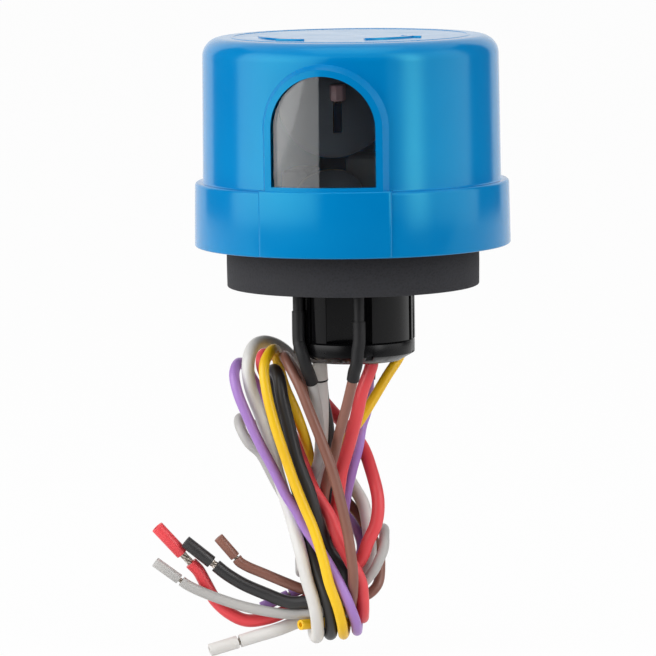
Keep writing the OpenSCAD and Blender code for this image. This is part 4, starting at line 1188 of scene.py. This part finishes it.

# %% [markdown]
# At the foot of the window lies a coated disc, leaning back. A thin bright metal ring on its top edge is a
# painted highlight on the disc's rounded edge.

# %% Coated disc
DISC_R, DISC_T, DISC_LEAN, DISC_FOOT = 9, 3.3, math.radians(38), (-1.8, -20.5, 24.14)
HIGHLIGHT_RING_INSET, HIGHLIGHT_RING_WIRE, HIGHLIGHT_RING_UP = 0.3, 0.2, 3.2
DISC_PLACE = Matrix.Translation(in_cap(DISC_FOOT)) @ Matrix.Rotation(DISC_LEAN, 4, "X")
disc = begin(bpy.ops.mesh.primitive_cylinder_add, vertices=64, radius=DISC_R * MM, depth=DISC_T * MM,
             location=(0, 0, DISC_T / 2 * MM))
round_edges(0.8, 4)
complete(disc, "coated_disc", "photocell", "varistor_epoxy", "varistor", place=DISC_PLACE)
# The bright ring is a painted highlight: a tinned wire laid on the disc's edge where it catches the light.
rim = begin(bpy.ops.mesh.primitive_torus_add, major_radius=(DISC_R - HIGHLIGHT_RING_INSET) * MM,
            minor_radius=HIGHLIGHT_RING_WIRE * MM, major_segments=96, minor_segments=8, location=(0, 0, HIGHLIGHT_RING_UP * MM))
complete(rim, "disc_rim_highlight", "photocell", "tinned_wire", place=DISC_PLACE)
print("disc", 2 * DISC_R, "mm across")

# %% [markdown]
# The gasket is a cup of soft foam. Its lower edge is cut fairly sharp, its wall bulges by a fraction where
# the skirt presses on it, and two screw holes go through its floor.

# %% Foam gasket
GASKET_R, GASKET_IN, GASKET_HOLE, GASKET_H, LIP_T = 33.55, 29, 20.1, 12.9, 2
SCREW_X, SCREW_HOLE_R, DRILL_DEPTH = 25, 2.25, 10


def foam_gasket():
    """The foam cup, turned from a closed profile and drilled."""
    rings = [(GASKET_HOLE, 0.5), (GASKET_HOLE + 0.5, 0)]
    rings += arc(GASKET_R - 0.35, 0.35, 0.35, -90, 0, 5)
    rings += [(GASKET_R + 0.05, 4), (GASKET_R + 0.08, 6.5), (GASKET_R + 0.05, 9)]
    rings += arc(GASKET_R - 1, GASKET_H - 1, 1, 0, 90, 5)
    rings += [(GASKET_IN + 0.4, GASKET_H), (GASKET_IN, GASKET_H - 0.4), (GASKET_IN, LIP_T),
              (GASKET_HOLE + 0.4, LIP_T), (GASKET_HOLE, LIP_T - 0.4)]
    cup = turn(rings, closed=True)
    merge_near(SAME_PLACE)
    leave_edit()
    for side in (-1, 1):
        drill = begin(bpy.ops.mesh.primitive_cylinder_add, vertices=32, radius=SCREW_HOLE_R * MM,
                      depth=DRILL_DEPTH * MM, location=in_row((side * SCREW_X, 0, 0)))
        bpy.ops.object.mode_set(mode="OBJECT")
        modify(cup, "BOOLEAN", operation="DIFFERENCE", solver="EXACT", object=drill)
        bpy.data.objects.remove(drill)
    alone(cup)
    shade(40)
    dress(cup, "foam_cup", "receptacle", "gasket_foam", "gasket")
    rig.padded(cup, fill=1)
    return cup


gasket = foam_gasket()
print("gasket", len(gasket.data.polygons), "faces")

# %% [markdown]
# The fluted neck and the snap cap under it keep the outline of their solids. A merged copy of each is
# cleaned into flat faces, and every hard edge gets a narrow rounding that catches the light.

# %% Neck and snap cap


def softened(node_name, name, width, body="receptacle"):
    """A copy of a solid with rounded edges, which stands for it."""
    obj = nodes[node_name].copy()
    obj.data = obj.data.copy()
    bpy.context.scene.collection.objects.link(obj)
    alone(obj)
    bpy.ops.object.mode_set(mode="EDIT")
    merge_near(0.004)
    bpy.ops.mesh.dissolve_limited(angle_limit=math.radians(0.5))
    bpy.ops.object.mode_set(mode="OBJECT")
    modify(obj, "BEVEL", width=width * MM, segments=2, limit_method="ANGLE", angle_limit=math.radians(35),
           use_clamp_overlap=True, miter_outer="MITER_ARC")
    shade(35)
    dress(obj, name, body, slot_of[node_name], node_name)
    return obj


neck = softened("socket_body", "fluted_neck", 0.25)
snap_cap = softened("wire_cap", "snap_cap", 0.3)
print("neck", len(neck.data.polygons), "faces, snap cap", len(snap_cap.data.polygons))

# %% [markdown]
# The pieces inside the cap and the contacts of the receptacle are seen dimly through the pane, or when the
# cap is lifted off. They get the same soft edges, each with a width that suits its size.

# %% Inner pieces
SOFT_EDGES = {
    "photocell": {
        "relay": 0.5, "film_capacitor": 0.6, "reservoir_capacitor": 0.4, "circuit_board": 0.2,
        "base_plate": 0.25, "base_screws": 0.15, "line_blade": 0.2, "load_blade": 0.2, "neutral_blade": 0.2,
        "signal_contacts": 0.08},
    "receptacle": {"line_clip": 0.1, "load_clip": 0.1, "neutral_clip": 0.1, "signal_pads": 0.12},
}
for body, widths in SOFT_EDGES.items():
    for node_name, width in widths.items():
        softened(node_name, f"soft_{node_name}", width, body)
    print(len(widths), "inner pieces on the", body)

# %% [markdown]
# The studio starts with a pale floor that ends far away and a surround. Both look white to the camera, in a
# mirror and through glass, and the surround gives the object only a weak fill.

# %% Floor and surround
FLOOR_SIZE, FLOOR_GAP, WHITE_SHARE = 24, 0.001, 0.97
FILL = 0.27


def seen_rays(tree):
    """One for rays that come from the camera, a mirror or glass, and nothing for rays that only light."""
    path = node(tree, "LightPath")
    seen = maths(tree, "MAXIMUM")
    all_seen = maths(tree, "MAXIMUM")
    wire(path, "Is Camera Ray", seen, 0)
    wire(path, "Is Glossy Ray", seen, 1)
    wire(seen, "Value", all_seen, 0)
    wire(path, "Is Transmission Ray", all_seen, 1)
    return all_seen


def make_floor():
    bpy.ops.object.select_all(action="DESELECT")
    bpy.ops.mesh.primitive_plane_add(size=FLOOR_SIZE, location=(0, 0, cad_box[0].z - FLOOR_GAP))
    floor = bpy.context.object
    floor.name = "studio_floor"
    material, tree, shader = new_material("pale_floor", Base_Color=(0.85, 0.85, 0.85, 1), Roughness=0.9)
    white = node(tree, "Emission", Strength=1.0)
    share = maths(tree, "MULTIPLY", WHITE_SHARE)
    mix = node(tree, "MixShader")
    wire(seen_rays(tree), "Value", share, 0)
    wire(share, "Value", mix, "Fac")
    wire(shader, "BSDF", mix, 1)
    wire(white, "Emission", mix, 2)
    wire(mix, "Shader", tree.nodes["Material Output"], "Surface")
    floor.data.materials.append(material)
    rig.stage(floor)


def make_surround():
    world = bpy.data.worlds.new("white_surround")
    bpy.context.scene.world = world
    world.use_nodes = True
    tree = world.node_tree
    plain = tree.nodes["Background"]
    plain.inputs["Color"].default_value = (1, 1, 1, 1)
    level = ranged(tree, out_low=FILL)
    wire(seen_rays(tree), "Value", level, "Value")
    wire(level, "Result", plain, "Strength")


make_floor()
make_surround()
print("floor", FLOOR_SIZE, "m, fill", FILL)

# %% [markdown]
# Four soft boxes light the object. A large one on the left and a smaller one with a narrow strip on the right
# give the broad bands on the cap, and one above lights its top. Each glows less towards its edges, so that
# the bands end softly. The dark gap between the boxes leaves the middle of the pane clear.

# %% Soft boxes
# Angle from the camera, height, distance, width, height of the cloth, and the glow at its edge and middle
LAMPS = {
    "left_box": (-59.6, 0.32, 1.1, 1.73, 1.3, 1.5, 3.9),
    "right_box": (81.5, 0.3, 1.1, 0.91, 1.2, 0.7, 0.9),
    "right_strip": (48, 0.35, 1.0, 0.46, 1.4, 1.0, 5.5),
    "top_box": (0, 1.3, 0.25, 1.0, 1.0, 1.0, 1.2),
}
FADE_FROM, FADE_TO = 0.5, 0.05


def place_round(obj, azimuth, height, distance):
    """Stand something round the object, at an angle from the camera, facing the object."""
    a = math.radians(azimuth) + SOCKET_TURN
    spot = Vector((math.sin(a) * distance, -math.cos(a) * distance, height))
    aim = Vector((0, 0, 0)) - spot
    obj.matrix_world = Matrix.Translation(spot) @ aim.to_track_quat("-Z", "Y").to_matrix().to_4x4()


def soft_box(name, azimuth, height, distance, width, tall, edge, middle):
    """A soft box whose cloth glows from one radiance at its edges to another in its middle."""
    bpy.ops.object.light_add(type="AREA")
    box = bpy.context.object
    box.name = name
    box.data.shape = "RECTANGLE"
    box.data.size = width
    box.data.size_y = tall
    box.data.energy = math.pi * width * tall
    box.data.use_nodes = True
    tree = box.data.node_tree
    place = node(tree, "NewGeometry")
    parts = node(tree, "SeparateXYZ")
    both = maths(tree, "MULTIPLY")
    glow = ranged(tree, out_low=edge, out_high=middle)
    wire(place, "Parametric", parts, "Vector")
    for k, axis in enumerate("XY"):
        offset = maths(tree, "SUBTRACT", 0.5)
        away = maths(tree, "ABSOLUTE")
        fade = ranged(tree, FADE_FROM, FADE_TO, interpolation_type="SMOOTHSTEP")
        wire(parts, axis, offset, 0)
        wire(offset, "Value", away, 0)
        wire(away, "Value", fade, "Value")
        wire(fade, "Result", both, k)
    wire(both, "Value", glow, "Value")
    wire(glow, "Result", tree.nodes["Emission"], "Strength")
    place_round(box, azimuth, height, distance)


for name, setting in LAMPS.items():
    soft_box(name, *setting)
print(len(LAMPS), "soft boxes")

# %% [markdown]
# A gloss cap mirrors the whole room. Dark cloth behind the camera, on the floor before it and at both sides
# gives it something dark to mirror. The camera doesn't see the cloths, and they cast no shadow.

# %% Dark cloths
# Angle, height and distance of its stand, or none on the floor, then its width and length
CLOTHS = {
    "dark_wall": ((0, 0.4, 3.2), 3.4, 3.0),
    "left_flag": ((-116, 0.3, 1.3), 0.85, 1.6),
    "right_flag": ((120, 0.3, 1.3), 0.85, 1.6),
    "dark_floor": (None, 2.8, 3.0),
}
CLOTH_X, CLOTH_Y, CLOTH_GAP = 0.05, -1.7, 0.0005


def dark_cloths():
    """Hang and lay all the dark cloths."""
    cloth = new_material("dark_cloth", Base_Color=(0.11, 0.11, 0.12, 1), Roughness=0.9)[0]
    on_floor = TURN @ Matrix.Translation((CLOTH_X, CLOTH_Y, cad_box[0].z - CLOTH_GAP))
    for name, (stand, width, tall) in CLOTHS.items():
        bpy.ops.object.select_all(action="DESELECT")
        bpy.ops.mesh.primitive_plane_add(size=1)
        piece = bpy.context.object
        piece.name = name
        if stand:
            place_round(piece, *stand)
        else:
            piece.matrix_world = on_floor
        piece.scale = (width, tall, 1)
        piece.visible_camera = False
        piece.visible_shadow = False
        piece.data.materials.append(cloth)
        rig.stage(piece)


dark_cloths()
bpy.context.scene.view_settings.view_transform = "Standard"
print(len(CLOTHS), "dark cloths")

# %% [markdown]
# Last, the box of the dressed part is written beside the box of the solids, to show that the scene keeps the
# size of the part.

# %% Sizes
visual_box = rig.bounds()
with open("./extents.json", "w") as out:
    json.dump({"cad": [list(c) for c in cad_box], "visual": [list(c) for c in visual_box]}, out)
print("visual box in mm", [round(v / MM, 1) for corner in visual_box for v in corner])
